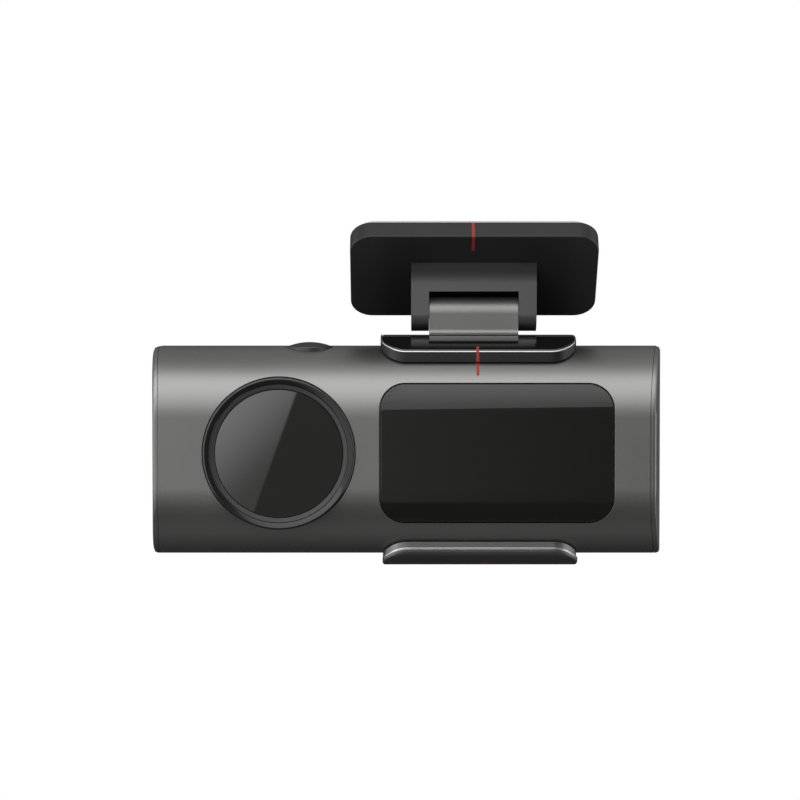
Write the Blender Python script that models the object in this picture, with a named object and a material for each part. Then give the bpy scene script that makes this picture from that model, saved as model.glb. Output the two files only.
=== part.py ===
"""Dash camera hanging from a windscreen bracket.

Empties carry the pieces. "mount" is at the world's origin, in the middle of the adhesive pad's outer
face, and its own Z is the way out through the glass. "hinge_barrel" and "tilt_axis" are on the hinge's
axis. "camera" hangs from tilt_axis and has its origin in the middle of the body: X runs along the
body, the driver is towards -Y, the road towards +Y.
"""

import math

import bmesh
import bpy
from mathutils import Matrix, Vector

MM = 0.001
GAP = 0.3 * MM  # left between two pieces that meet
OVER = 1.0 * MM  # how far a cutter reaches past what it cuts

# Camera body. Its length is taken along the driver's face; the ends bulge a little in plan.
BODY_LENGTH = 107.4 * MM
BODY_HEIGHT = 45.0 * MM
BODY_DEPTH = 40.0 * MM
CORNER_RADIUS = 15.0 * MM
WALL = 2.2 * MM
SEAM_BEHIND_FACE = 10.2 * MM
END_DOME_RADIUS = 150.0 * MM
LEFT_CROWN_Y = -5.0 * MM
RIGHT_CROWN_Y = 8.0 * MM
CAP_RIM = 0.9 * MM
CAP_CHAMFER = 0.5 * MM
CAP_PLUG = 1.6 * MM
CAP_PLATE = 2.2 * MM

# Round window of the cabin camera, and the curved screen, measured in from their ends of the body.
WINDOW_FROM_LEFT = 26.9 * MM
WINDOW_RADIUS = 16.25 * MM
WINDOW_PROUD = 0.6 * MM
WINDOW_RING_WIDTH = 1.45 * MM
INNER_RING_WIDTH = 0.8 * MM
WINDOW_LEDGE = 1.3 * MM
WINDOW_GLASS_THICKNESS = 1.2 * MM
SCREEN_FROM_RIGHT = 33.95 * MM
SCREEN_LENGTH = 50.0 * MM
SCREEN_HEIGHT = 29.8 * MM
SCREEN_RADIUS = 5.4 * MM
SCREEN_THICKNESS = 1.2 * MM
SCREEN_LEDGE = 1.5 * MM

# Raised pads above and below the body. The lower one is the loudspeaker's.
BOSS_LENGTH = 42.3 * MM
BOSS_DEPTH = 30.0 * MM
BOSS_RADIUS = 5.5 * MM
BOSS_RIM = 1.0 * MM
COVER_THICKNESS = 1.1 * MM
UPPER_BOSS_FROM_RIGHT = 37.7 * MM
UPPER_RISE = 2.45 * MM
LOWER_BOSS_FROM_RIGHT = 37.3 * MM
LOWER_RISE = 2.6 * MM
SOUND_SLOTS = 7
SOUND_SLOT_WIDTH = 1.2 * MM
SOUND_SLOT_LENGTH = 9.0 * MM
SOUND_SLOT_PITCH = 2.2 * MM

# Windscreen bracket. RAKE is the windscreen's slope from the horizontal.
RAKE = math.radians(43.0)
PAD_LENGTH = 52.4 * MM
PAD_WIDTH = 23.8 * MM
PAD_THICKNESS = 0.8 * MM
PLATE_LENGTH = 54.0 * MM
PLATE_WIDTH = 25.4 * MM
PLATE_THICKNESS = 4.5 * MM
PLATE_RADIUS = 4.8 * MM
MOUNT_FROM_RIGHT = 38.5 * MM

# Tilt hinge. Its barrel is round the axis, which runs along X.
BARREL_RADIUS = 3.75 * MM
BARREL_TO_PLATE = 0.67 * MM
HINGE_DOWN_PLATE = 7.13 * MM
HINGE_Y = 0.5 * MM
HINGE_OVER_BOSS = 4.6 * MM
ARM_WIDTH = 19.4 * MM
ARM_FLARE = 1.3 * MM
EAR_WIDTH = 3.8 * MM
SLOT_ROOM = 1.2 * MM
BRACKET_SWEEP = 2.6 * MM
PIN_RADIUS = 1.0 * MM
WASHER_RADIUS = 2.6 * MM
WASHER_THICKNESS = 0.6 * MM

# Power button, on top.
BUTTON_FROM_LEFT = 33.1 * MM
BUTTON_Y = -5.2 * MM
BUTTON_RADIUS = 5.2 * MM
BUTTON_PROUD = 1.0 * MM
BUTTON_DOME = 1.15 * MM
BUTTON_TRAVEL = 0.6 * MM
BUTTON_FLANGE = 0.8 * MM
BUTTON_FLANGE_WIDTH = 0.8 * MM
BUTTON_STEM_RADIUS = 1.5 * MM

# Screws: head radius, head thickness and shank radius are shared.
SCREW_HEAD_RADIUS = 1.9 * MM
SCREW_HEAD = 1.4 * MM
SCREW_SHANK_RADIUS = 0.9 * MM
SCREW_RECESS = 0.6 * MM
SCREW_RECESS_RADIUS = 0.9 * MM
POST_RADIUS = 2.2 * MM
CASE_HEAD_RADIUS = 1.6 * MM
POST_FROM_END = 7.4 * MM
POST_FROM_TOP = 8.0 * MM
CASE_SCREW_HEAD_Y = 12.0 * MM
CASE_SCREW_TIP_Y = -11.0 * MM
ARM_SCREW_SPACING = 13.0 * MM
BRACKET_SCREW_BITE = 3.7 * MM

# Main board and what is on it. The board keeps its distance from the casing's top and bottom.
BOARD_THICKNESS = 1.2 * MM
BOARD_FRONT_Y = -3.2 * MM
BOARD_FROM_TOP = 5.8 * MM
SHIELD_SIDE = 20.0 * MM
SHIELD_THICKNESS = 1.6 * MM
SPREADER_LENGTH = 34.0 * MM
SPREADER_HEIGHT = 28.0 * MM
SPREADER_THICKNESS = 1.5 * MM
FINS = 5
FIN_PITCH = 5.5 * MM
FIN_LENGTH = 32.0 * MM
FIN_DEPTH = 4.0 * MM
FIN_THICKNESS = 1.2 * MM
CAPACITOR_RADIUS = 4.0 * MM
CAPACITOR_LENGTH = 22.0 * MM
CAPACITOR_Z = 5.0 * MM
SWITCH_LENGTH = 6.0 * MM
SWITCH_DEPTH = 3.4 * MM
SWITCH_HEIGHT = 3.2 * MM
SWITCH_BELOW_EDGE = 0.7 * MM
PLUNGER_RADIUS = 0.9 * MM
PLUNGER_RISE = 0.5 * MM
MICROPHONE_RADIUS = 2.0 * MM
MICROPHONE_HEIGHT = 1.5 * MM
PORT_RADIUS = 0.4 * MM
PORT_DEPTH = 0.5 * MM

# Display, its ribbon and the loudspeaker.
DISPLAY_THICKNESS = 1.8 * MM
DISPLAY_BEHIND_FACE = 3.1 * MM
TRAY_THICKNESS = 1.0 * MM
RIBBON_THICKNESS = 0.4 * MM
RIBBON_WIDTH = 8.0 * MM
RIBBON_REACH = 3.0 * MM
SPEAKER_RADIUS = 9.0 * MM
SPEAKER_THICKNESS = 3.0 * MM
SPEAKER_RIM = 1.2 * MM

# Cabin camera and its night lamps.
CABIN_BARREL_RADIUS = 5.2 * MM
CABIN_LENS_RADIUS = 3.8 * MM
CABIN_LENS_THICKNESS = 1.5 * MM
CABIN_LENS_BULGE = 0.6 * MM
CABIN_BARREL_TO_BOARD = 5.3 * MM
CABIN_BOARD_SIDE = 19.0 * MM
CABIN_BOARD_THICKNESS = 1.0 * MM
LAMPS = 4
LAMP_SIDE = 3.0 * MM
LAMP_THICKNESS = 1.3 * MM
LAMP_CIRCLE_RADIUS = 8.9 * MM
LAMP_BOARD_THICKNESS = 0.8 * MM

# Road camera.
ROAD_RADIUS = 11.5 * MM
ROAD_PROUD = 3.2 * MM
ROAD_RING_WIDTH = 1.8 * MM
ROAD_CHAMFER = 0.6 * MM
ROAD_FLANGE = 1.0 * MM
ROAD_CONE_DEPTH = 5.0 * MM
ROAD_CONE_SLOPE = 2.0 * MM
ROAD_LENS_RADIUS = 6.0 * MM
ROAD_LENS_SUNK = 1.0 * MM
ROAD_LENS_BULGE = 1.6 * MM
ROAD_BARREL_RADIUS = 7.0 * MM
ROAD_BOARD_SIDE = 23.0 * MM
ROAD_BOARD_BEHIND_MAIN = 3.8 * MM

# Power inlet and memory card.
SOCKET_HEIGHT = 9.0 * MM
SOCKET_THICKNESS = 3.2 * MM
SOCKET_DEPTH = 7.4 * MM
SOCKET_WALL = 0.3 * MM
TONGUE_THICKNESS = 0.7 * MM
CARD_LENGTH = 15.0 * MM
CARD_WIDTH = 11.0 * MM
CARD_THICKNESS = 0.8 * MM
CARD_NOTCH = 0.7 * MM
CARD_CORNER = 3.0 * MM
CARD_TRAVEL_IN = 0.6 * MM
CARD_Z = 4.0 * MM
CARD_SHY = 0.3 * MM
CARD_HOLDER_WALL = 0.5 * MM

ARC_STEPS = 10
CORNER_STEPS = 6
ROUND_STEPS = 40
SMALL_STEPS = 16
MIDDLE_STEPS = 24
SHANK_STEPS = 12
HEXAGON = 6

FACE_Y = -BODY_DEPTH / 2
SEAM_Y = FACE_Y + SEAM_BEHIND_FACE
LEFT_X = -BODY_LENGTH / 2
RIGHT_X = BODY_LENGTH / 2
TOP_Z = BODY_HEIGHT / 2
WINDOW_X = LEFT_X + WINDOW_FROM_LEFT
SCREEN_X = RIGHT_X - SCREEN_FROM_RIGHT
UPPER_BOSS_X = RIGHT_X - UPPER_BOSS_FROM_RIGHT
LOWER_BOSS_X = RIGHT_X - LOWER_BOSS_FROM_RIGHT
MOUNT_X = RIGHT_X - MOUNT_FROM_RIGHT
BUTTON_X = LEFT_X + BUTTON_FROM_LEFT
POST_X = BODY_LENGTH / 2 - POST_FROM_END
POST_Z = TOP_Z - POST_FROM_TOP
HINGE_Z = TOP_Z + UPPER_RISE + HINGE_OVER_BOSS
HINGE_TO_FACE = BARREL_RADIUS + BARREL_TO_PLATE
BOARD_BACK_Y = BOARD_FRONT_Y + BOARD_THICKNESS
BOARD_HALF_HEIGHT = TOP_Z - BOARD_FROM_TOP
BORE_RADIUS = SCREW_SHANK_RADIUS + GAP

FINISHES = {
    "gunmetal": ((0.16, 0.165, 0.165), 0.42, 0.75),
    "dark_metal": ((0.06, 0.062, 0.062), 0.35, 0.7),
    "black_gloss": ((0.012, 0.012, 0.012), 0.08, 0.0),
    "black_plastic": ((0.02, 0.02, 0.021), 0.5, 0.0),
    "smoked_glass": ((0.015, 0.016, 0.015), 0.04, 0.0),
    "lens_glass": ((0.03, 0.03, 0.05), 0.03, 0.0),
    "steel": ((0.45, 0.45, 0.44), 0.35, 1.0),
    "adhesive": ((0.5, 0.47, 0.44), 0.7, 0.0),
    "board_green": ((0.02, 0.1, 0.05), 0.5, 0.0),
    "ribbon_amber": ((0.4, 0.18, 0.04), 0.45, 0.0),
    "aluminium": ((0.6, 0.6, 0.6), 0.4, 1.0),
}


# Objects, frames and finishes


def clear_scene():
    for obj in list(bpy.data.objects):
        bpy.data.objects.remove(obj, do_unlink=True)


def finish(name):
    """The material of this name, made the first time that it is asked for."""
    found = bpy.data.materials.get(name)
    if found:
        return found
    colour, roughness, metallic = FINISHES[name]
    made = bpy.data.materials.new(name)
    made.use_nodes = True
    made.diffuse_color = (*colour, 1.0)
    shader = made.node_tree.nodes["Principled BSDF"]
    shader.inputs["Base Color"].default_value = (*colour, 1.0)
    shader.inputs["Roughness"].default_value = roughness
    shader.inputs["Metallic"].default_value = metallic
    return made


def frame(name, parent=None, at=(0, 0, 0), turn_x=0.0):
    """An empty that carries pieces."""
    empty = bpy.data.objects.new(name, None)
    bpy.context.scene.collection.objects.link(empty)
    empty.parent = parent
    empty.location = at
    empty.rotation_euler.x = turn_x
    return empty


def place(name, shape, carrier, at):
    mesh = bpy.data.meshes.new(name)
    shape.to_mesh(mesh)
    shape.free()
    obj = bpy.data.objects.new(name, mesh)
    bpy.context.scene.collection.objects.link(obj)
    obj.parent = carrier
    obj.location = at
    return obj


def piece(name, shape, material, carrier, at=(0, 0, 0)):
    """One finished sub-part. Its shape is a bmesh, used up here."""
    obj = place(name, shape, carrier, at)
    obj.data.materials.append(finish(material))
    obj.data.shade_smooth()
    obj.data.set_sharp_from_angle(angle=math.radians(30))
    return obj


def tool(shape, carrier, at=(0, 0, 0)):
    """A solid that only cuts, joins or trims others."""
    obj = place("tool", shape, carrier, at)
    obj.hide_render = True
    obj.display_type = "WIRE"
    return obj


def combine(target, others, operation):
    for other in others:
        modifier = target.modifiers.new(operation.lower(), "BOOLEAN")
        modifier.operation = operation
        modifier.object = other
    return target


def cut(target, *others):
    return combine(target, others, "DIFFERENCE")


def join(target, *others):
    return combine(target, others, "UNION")


def keep_inside(target, *others):
    return combine(target, others, "INTERSECT")


# Shapes, each a bmesh


def swept_to(axis, a, b, along):
    """The point (a, b) of an outline, at this distance along the axis that it is swept on."""
    return {"X": (along, a, b), "Y": (a, along, b), "Z": (a, b, along)}[axis]


def prism(outline, low, high, axis):
    """An outline swept straight from low to high along an axis."""
    shape = bmesh.new()
    corners = [shape.verts.new(swept_to(axis, a, b, low)) for a, b in outline]
    base = shape.faces.new(corners)
    swept = bmesh.ops.extrude_face_region(shape, geom=[base])
    moved = [item for item in swept["geom"] if isinstance(item, bmesh.types.BMVert)]
    bmesh.ops.translate(shape, vec=Vector(swept_to(axis, 0, 0, high - low)), verts=moved)
    bmesh.ops.recalc_face_normals(shape, faces=shape.faces)
    return shape


def turned(profile, axis, steps=ROUND_STEPS):
    """A closed outline of (radius, along) turned round an axis. A cylinder needs no inner points."""
    shape = bmesh.new()
    corners = [shape.verts.new(swept_to(axis, radius, 0, along)) for radius, along in profile]
    edges = [shape.edges.new(pair) for pair in zip(corners, corners[1:] + corners[:1])]
    about = Vector(swept_to(axis, 0, 0, 1))
    bmesh.ops.spin(
        shape, geom=corners + edges, cent=(0, 0, 0), axis=about, angle=math.tau, steps=steps
    )
    bmesh.ops.remove_doubles(shape, verts=shape.verts, dist=GAP / 1000)
    doubled = [edge for edge in shape.edges if not edge.link_faces]
    bmesh.ops.delete(shape, geom=doubled, context="EDGES")
    bmesh.ops.recalc_face_normals(shape, faces=shape.faces)
    return shape


def disc(radius, low, high, axis, steps=SMALL_STEPS):
    return prism(circle(radius, steps), low, high, axis)


def ring(outer, inner, low, high, axis, steps=ROUND_STEPS):
    return turned([(inner, low), (outer, low), (outer, high), (inner, high)], axis, steps)


def domed(radius, crown, drop, steps=4):
    """The profile of a lens's face, from its middle at the crown to its rim, which is lower by the drop."""
    parts = [step / steps for step in range(steps + 1)]
    return [(radius * part, crown + drop * part**2) for part in parts]


def block(size_x, size_y, size_z):
    outline = rectangle(size_x, size_y)
    return prism(outline, -size_z / 2, size_z / 2, "Z")


def rectangle(length, width):
    return [
        (-length / 2, -width / 2),
        (length / 2, -width / 2),
        (length / 2, width / 2),
        (-length / 2, width / 2),
    ]


def circle(radius, steps):
    turns = [math.tau * step / steps for step in range(steps)]
    return [(radius * math.cos(turn), radius * math.sin(turn)) for turn in turns]


def arc(centre, radius, start, end, steps):
    """Points from one angle to another, both ends included."""
    turns = [start + (end - start) * step / steps for step in range(steps + 1)]
    return [
        (centre[0] + radius * math.cos(turn), centre[1] + radius * math.sin(turn)) for turn in turns
    ]


def rounded(length, width, radius, steps=CORNER_STEPS):
    """A rectangle with round corners."""
    outline = []
    for quarter, (side_a, side_b) in enumerate(((1, 1), (-1, 1), (-1, -1), (1, -1))):
        centre = (side_a * (length / 2 - radius), side_b * (width / 2 - radius))
        start = quarter * math.pi / 2
        outline += arc(centre, radius, start, start + math.pi / 2, steps)
    return outline


# The body's own surfaces


def half_section(offset):
    """Upper half of the body's outline across its length, front to back, as (y, z)."""
    centre = (CORNER_RADIUS - BODY_DEPTH / 2, TOP_Z - CORNER_RADIUS)
    front = arc(centre, CORNER_RADIUS + offset, math.pi, math.pi / 2, ARC_STEPS)
    return front + [(-y, z) for y, z in reversed(front)]


def section(offset):
    upper = half_section(offset)
    return upper + [(y, -z) for y, z in reversed(upper)]


def skin_y(z, offset=0.0):
    """How far the surface at this height is from the middle plane, towards the driver or the road."""
    beyond = max(0.0, abs(z) - (TOP_Z - CORNER_RADIUS))
    straight = BODY_DEPTH / 2 - CORNER_RADIUS
    return straight + math.sqrt((CORNER_RADIUS + offset) ** 2 - beyond**2)


def skin_z(y, offset=0.0):
    """How high the surface is at this depth."""
    beyond = max(0.0, abs(y) - (BODY_DEPTH / 2 - CORNER_RADIUS))
    straight = TOP_Z - CORNER_RADIUS
    return straight + math.sqrt((CORNER_RADIUS + offset) ** 2 - beyond**2)


def end_x(side, y, inset):
    """Where the bulging end face is at this depth, less an inset. Side is -1 at the left end."""
    crown = RIGHT_CROWN_Y if side > 0 else LEFT_CROWN_Y
    bulge = ((FACE_Y - crown) ** 2 - (y - crown) ** 2) / (2 * END_DOME_RADIUS)
    return side * (BODY_LENGTH / 2 + bulge - inset)


def lofted(stations):
    """Sections of the body joined in a row. A station is an offset, a side and an inset from that end."""
    shape = bmesh.new()
    loops = []
    for offset, side, inset in stations:
        upper = [shape.verts.new((end_x(side, y, inset), y, z)) for y, z in half_section(offset)]
        lower = [shape.verts.new((vert.co.x, vert.co.y, -vert.co.z)) for vert in upper]
        loops.append((upper, lower))
    for (upper_a, lower_a), (upper_b, lower_b) in zip(loops, loops[1:]):
        loop_a = upper_a + lower_a[::-1]
        loop_b = upper_b + lower_b[::-1]
        for here in range(len(loop_a)):
            after = (here + 1) % len(loop_a)
            shape.faces.new((loop_a[here], loop_a[after], loop_b[after], loop_b[here]))
    for upper, lower in (loops[0], loops[-1]):
        for here in range(len(upper) - 1):
            shape.faces.new((upper[here], upper[here + 1], lower[here + 1], lower[here]))
    bmesh.ops.recalc_face_normals(shape, faces=shape.faces)
    return shape


def slab(offset):
    """The body's section, swept past both ends."""
    return prism(section(offset), 2 * LEFT_X, 2 * RIGHT_X, "X")


# Screws


def screw(name, carrier, at, axis, head_side, length, head_radius=SCREW_HEAD_RADIUS):
    """A screw whose origin is under its head. Head_side is +1 where the head is on the axis's far side."""
    head = disc(head_radius, *sorted((0, head_side * SCREW_HEAD)), axis)
    body = piece(name, head, "steel", carrier, at)
    shank_span = sorted((head_side * SCREW_HEAD / 2, -head_side * length))
    shank = disc(SCREW_SHANK_RADIUS, *shank_span, axis, SHANK_STEPS)
    recess_span = sorted((head_side * (SCREW_HEAD - SCREW_RECESS), head_side * (SCREW_HEAD + OVER)))
    recess = disc(SCREW_RECESS_RADIUS, *recess_span, axis, HEXAGON)
    join(body, tool(shank, carrier, at))
    return cut(body, tool(recess, carrier, at))


# Windscreen bracket


def hinge_in_mount():
    """The hinge axis in the mount's frame: down the plate, and out of its face."""
    return Vector((0, HINGE_DOWN_PLATE, -(HINGE_TO_FACE + PLATE_THICKNESS + GAP + PAD_THICKNESS)))


def make_pad_and_plate(mount):
    pad = prism(rounded(PAD_LENGTH, PAD_WIDTH, PLATE_RADIUS), -PAD_THICKNESS, 0, "Z")
    piece("adhesive_pad", pad, "adhesive", mount)
    back = -(PAD_THICKNESS + GAP)
    outline = rounded(PLATE_LENGTH, PLATE_WIDTH, PLATE_RADIUS)
    block_of_plate = prism(outline, back - PLATE_THICKNESS, back, "Z")
    plate = piece("mount_plate", block_of_plate, "black_plastic", mount)
    for x, y in bracket_screw_places():
        counterbore = disc(SCREW_HEAD_RADIUS + GAP, back - SCREW_HEAD - GAP, back + OVER, "Z")
        bore = disc(BORE_RADIUS, back - PLATE_THICKNESS - OVER, back, "Z")
        cut(plate, tool(counterbore, mount, (x, y, 0)), tool(bore, mount, (x, y, 0)))


def bracket_screw_places():
    """The two screws run into the ears, clear of the hinge pin's bore."""
    up_plate = PIN_RADIUS + BORE_RADIUS + 3 * GAP
    x = ARM_WIDTH / 2 + GAP + EAR_WIDTH / 2
    return [(side * x, HINGE_DOWN_PLATE - up_plate) for side in (-1, 1)]


def make_bracket_screws(mount):
    under_head = -(PAD_THICKNESS + GAP + SCREW_HEAD)
    length = PLATE_THICKNESS - SCREW_HEAD + GAP + BRACKET_SCREW_BITE
    for side, (x, y) in zip(("left", "right"), bracket_screw_places()):
        screw(f"bracket_screw_{side}", mount, (x, y, under_head), "Z", 1, length)


def bracket_outline():
    """Side view of the bracket round the hinge axis, as (y, z): barrel, vertical front, sweep, plate side."""
    out = Vector((math.sin(RAKE), math.cos(RAKE)))
    up_plate = Vector((-math.cos(RAKE), math.sin(RAKE)))
    reach = HINGE_TO_FACE - GAP
    front_y = -BARREL_RADIUS
    corner_z = (reach - out.x * front_y) / out.y
    turn = math.pi / 2 - RAKE
    sweep_radius = BRACKET_SWEEP / math.tan(turn / 2)
    sweep_centre = (front_y - sweep_radius, corner_z - BRACKET_SWEEP)
    sweep = arc(sweep_centre, sweep_radius, turn, 0, CORNER_STEPS)
    barrel = arc((0, 0), BARREL_RADIUS, math.pi, math.tau - RAKE, ROUND_STEPS // 2)
    lower = -up_plate * BARREL_RADIUS + out * reach
    return sweep + barrel + [tuple(lower)]


def make_bracket(carrier, mount):
    half_width = ARM_WIDTH / 2 + GAP + EAR_WIDTH
    shape = prism(bracket_outline(), -half_width, half_width, "X")
    bracket = piece("hinge_bracket", shape, "black_plastic", carrier)
    ceiling = BARREL_RADIUS + SLOT_ROOM
    slot_depth = 4 * BARREL_RADIUS
    slot = block(ARM_WIDTH + 2 * GAP, 2 * slot_depth, slot_depth)
    cut(bracket, tool(slot, carrier, (0, 0, ceiling - slot_depth / 2)))
    bore = disc(PIN_RADIUS + GAP, -half_width - OVER, half_width - EAR_WIDTH / 4, "X")
    cut(bracket, tool(bore, carrier))
    for x, y in bracket_screw_places():
        bite = -(PAD_THICKNESS + 2 * GAP + PLATE_THICKNESS) - BRACKET_SCREW_BITE
        pilot = disc(BORE_RADIUS, bite - GAP, -PAD_THICKNESS, "Z")
        cut(bracket, tool(pilot, mount, (x, y, 0)))


def make_hinge_pin_and_washers(carrier):
    half_width = ARM_WIDTH / 2 + GAP + EAR_WIDTH
    pin = disc(PIN_RADIUS, -half_width + GAP, half_width - EAR_WIDTH / 4 - GAP, "X")
    piece("hinge_pin", pin, "steel", carrier)
    for side, sign in (("left", -1), ("right", 1)):
        outside = ARM_WIDTH / 2
        span = sorted((sign * (outside - WASHER_THICKNESS), sign * outside))
        washer = ring(WASHER_RADIUS, PIN_RADIUS + GAP, *span, "X", SMALL_STEPS)
        piece(f"friction_washer_{side}", washer, "steel", carrier)


def arm_outline():
    """Side view of the arm round the hinge axis, as (y, z): a barrel over a flared foot."""
    foot_z = GAP - HINGE_OVER_BOSS
    flare = ARM_FLARE
    right_foot = arc(
        (BARREL_RADIUS + flare, foot_z + flare), flare, -math.pi / 2, -math.pi, CORNER_STEPS
    )
    left_foot = [(-y, z) for y, z in reversed(right_foot)]
    return right_foot + arc((0, 0), BARREL_RADIUS, 0, math.pi, ROUND_STEPS // 2) + left_foot


def make_arm(tilt):
    shape = prism(arm_outline(), -ARM_WIDTH / 2, ARM_WIDTH / 2, "X")
    arm = piece("mount_arm", shape, "gunmetal", tilt)
    cut(arm, tool(disc(PIN_RADIUS + GAP, -ARM_WIDTH, ARM_WIDTH, "X"), tilt))
    for sign in (-1, 1):
        floor = ARM_WIDTH / 2 - WASHER_THICKNESS - GAP
        span = sorted((sign * floor, sign * ARM_WIDTH))
        cut(arm, tool(disc(WASHER_RADIUS + GAP, *span, "X"), tilt))
        pilot = disc(BORE_RADIUS, -2 * HINGE_OVER_BOSS, arm_screw_tip() + GAP / 2, "Z")
        cut(arm, tool(pilot, tilt, (sign * ARM_SCREW_SPACING / 2, 0, 0)))


def arm_screw_tip():
    """Height of the arm screws' tips, over the hinge axis."""
    return -(PIN_RADIUS + 3 * GAP)


def make_arm_screws(body):
    under_head = TOP_Z - WALL - GAP
    length = HINGE_Z + arm_screw_tip() - under_head
    for side, sign in (("left", -1), ("right", 1)):
        at = (MOUNT_X + sign * ARM_SCREW_SPACING / 2, HINGE_Y, under_head)
        screw(f"arm_screw_{side}", body, at, "Z", -1, length)


# Casing


def make_shells(body):
    """Both halves of the casing: one section all round, parted at the seam."""
    cap_room = CAP_RIM + GAP
    shells = {}
    for name, low_y, high_y in (
        ("driver_side_shell", -BODY_DEPTH, SEAM_Y - GAP / 2),
        ("road_side_shell", SEAM_Y + GAP / 2, BODY_DEPTH),
    ):
        shell = piece(name, lofted([(0, -1, cap_room), (0, 1, cap_room)]), "gunmetal", body)
        cut(shell, tool(lofted([(-WALL, -1, -OVER), (-WALL, 1, -OVER)]), body))
        side = block(3 * BODY_LENGTH, high_y - low_y, 2 * BODY_HEIGHT)
        keep_inside(shell, tool(side, body, (0, (low_y + high_y) / 2, 0)))
        shells[name] = shell
    add_posts(shells, body)
    return shells["driver_side_shell"], shells["road_side_shell"]


def post_places():
    return [(x, z) for x in (-POST_X, POST_X) for z in (-POST_Z, POST_Z)]


def add_posts(shells, body):
    """Screw posts that clamp the main board between the two halves."""
    start = skin_y(POST_Z + POST_RADIUS, -WALL / 3)
    recess_radius = CASE_HEAD_RADIUS + GAP
    for x, z in post_places():
        front = disc(POST_RADIUS, -start, BOARD_FRONT_Y - GAP, "Y", MIDDLE_STEPS)
        pilot = disc(BORE_RADIUS, CASE_SCREW_TIP_Y - GAP, 0, "Y")
        join(shells["driver_side_shell"], tool(front, body, (x, 0, z)))
        cut(shells["driver_side_shell"], tool(pilot, body, (x, 0, z)))
        back = disc(POST_RADIUS, BOARD_BACK_Y + GAP, start, "Y", MIDDLE_STEPS)
        bore = disc(BORE_RADIUS, BOARD_FRONT_Y, BODY_DEPTH, "Y")
        recess = disc(recess_radius, CASE_SCREW_HEAD_Y - GAP, BODY_DEPTH, "Y")
        join(shells["road_side_shell"], tool(back, body, (x, 0, z)))
        for hole in (bore, recess):
            cut(shells["road_side_shell"], tool(hole, body, (x, 0, z)))


def make_case_screws(body):
    length = CASE_SCREW_HEAD_Y - CASE_SCREW_TIP_Y
    for number, (x, z) in enumerate(post_places(), 1):
        at = (x, CASE_SCREW_HEAD_Y, z)
        screw(f"case_screw_{number}", body, at, "Y", 1, length, CASE_HEAD_RADIUS)


def open_shells(front, back, body):
    """Holes for the window, the screen, the road lens, the button, the arm's screws and the sound."""
    window = disc(WINDOW_RADIUS + GAP, -BODY_DEPTH, SEAM_Y - OVER, "Y", ROUND_STEPS)
    cut(front, tool(window, body, (WINDOW_X, 0, 0)))
    pocket = cut(tool(screen_prism(GAP), body), tool(slab(-(SCREEN_THICKNESS + GAP)), body))
    cut(front, pocket, tool(screen_prism(-SCREEN_LEDGE), body))
    road_hole = disc(ROAD_RADIUS + GAP, 0, BODY_DEPTH, "Y", ROUND_STEPS)
    cut(back, tool(road_hole, body, (WINDOW_X, 0, 0)))
    button_hole = disc(BUTTON_RADIUS + GAP, TOP_Z / 2, BODY_HEIGHT, "Z", ROUND_STEPS)
    both = tool(button_hole, body, (BUTTON_X, BUTTON_Y, 0))
    cut(back, both)
    cut(front, both)
    for sign in (-1, 1):
        at = (MOUNT_X + sign * ARM_SCREW_SPACING / 2, HINGE_Y, 0)
        cut(back, tool(disc(BORE_RADIUS, TOP_Z / 2, BODY_HEIGHT, "Z"), body, at))
    for slot in sound_slots(body):
        cut(back, slot)


def screen_prism(grow):
    """The screen's outline as seen by the driver, swept through the front wall."""
    outline = rounded(SCREEN_LENGTH + 2 * grow, SCREEN_HEIGHT + 2 * grow, SCREEN_RADIUS + grow)
    shifted = [(x + SCREEN_X, z) for x, z in outline]
    return prism(shifted, FACE_Y - OVER, SEAM_Y - OVER, "Y")


def make_end_caps(body):
    """Each cap is a rim flush with the casing, and a hollow plug that sits inside it."""
    plug_offset = -(WALL + GAP)
    deep = CAP_RIM + CAP_PLUG
    caps = []
    for name, side in (("left_end_cap", -1), ("right_end_cap", 1)):
        rim = [(0, side, CAP_RIM), (0, side, CAP_CHAMFER), (-CAP_CHAMFER, side, 0)]
        cap = piece(name, lofted(rim), "gunmetal", body)
        join(cap, tool(lofted([(plug_offset, side, deep), (plug_offset, side, CAP_RIM / 2)]), body))
        hollow = [(plug_offset - WALL, side, deep + OVER), (plug_offset - WALL, side, CAP_PLATE)]
        cut(cap, tool(lofted(hollow), body))
        caps.append(cap)
    socket_hole = rounded(SOCKET_THICKNESS + 2 * GAP, SOCKET_HEIGHT + 2 * GAP, SOCKET_THICKNESS / 2)
    cut(caps[0], tool(prism(socket_hole, 2 * LEFT_X, 0, "X"), body, (0, socket_y(), 0)))
    card_hole = rectangle(CARD_THICKNESS + 2 * GAP, CARD_WIDTH + 2 * GAP)
    cut(caps[1], tool(prism(card_hole, 0, 2 * RIGHT_X, "X"), body, (0, card_y(), CARD_Z)))


# Raised pads


def boss_solid(grow, low_offset, high_offset, side, body, x):
    """The pad's outline in plan, swept up or down, kept between two offsets of the body's surface."""
    outline = rounded(BOSS_LENGTH + 2 * grow, BOSS_DEPTH + 2 * grow, BOSS_RADIUS + grow)
    span = sorted((0, side * BODY_HEIGHT))
    shape = prism(outline, *span, "Z")
    solid = tool(shape, body, (x, 0, 0))
    keep_inside(solid, tool(slab(high_offset), body))
    return cut(solid, tool(slab(low_offset), body))


def show(solid, name, material):
    """Makes a tool into a piece."""
    solid.name = name
    solid.hide_render = False
    solid.display_type = "TEXTURED"
    solid.data.materials.append(finish(material))
    return solid


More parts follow.
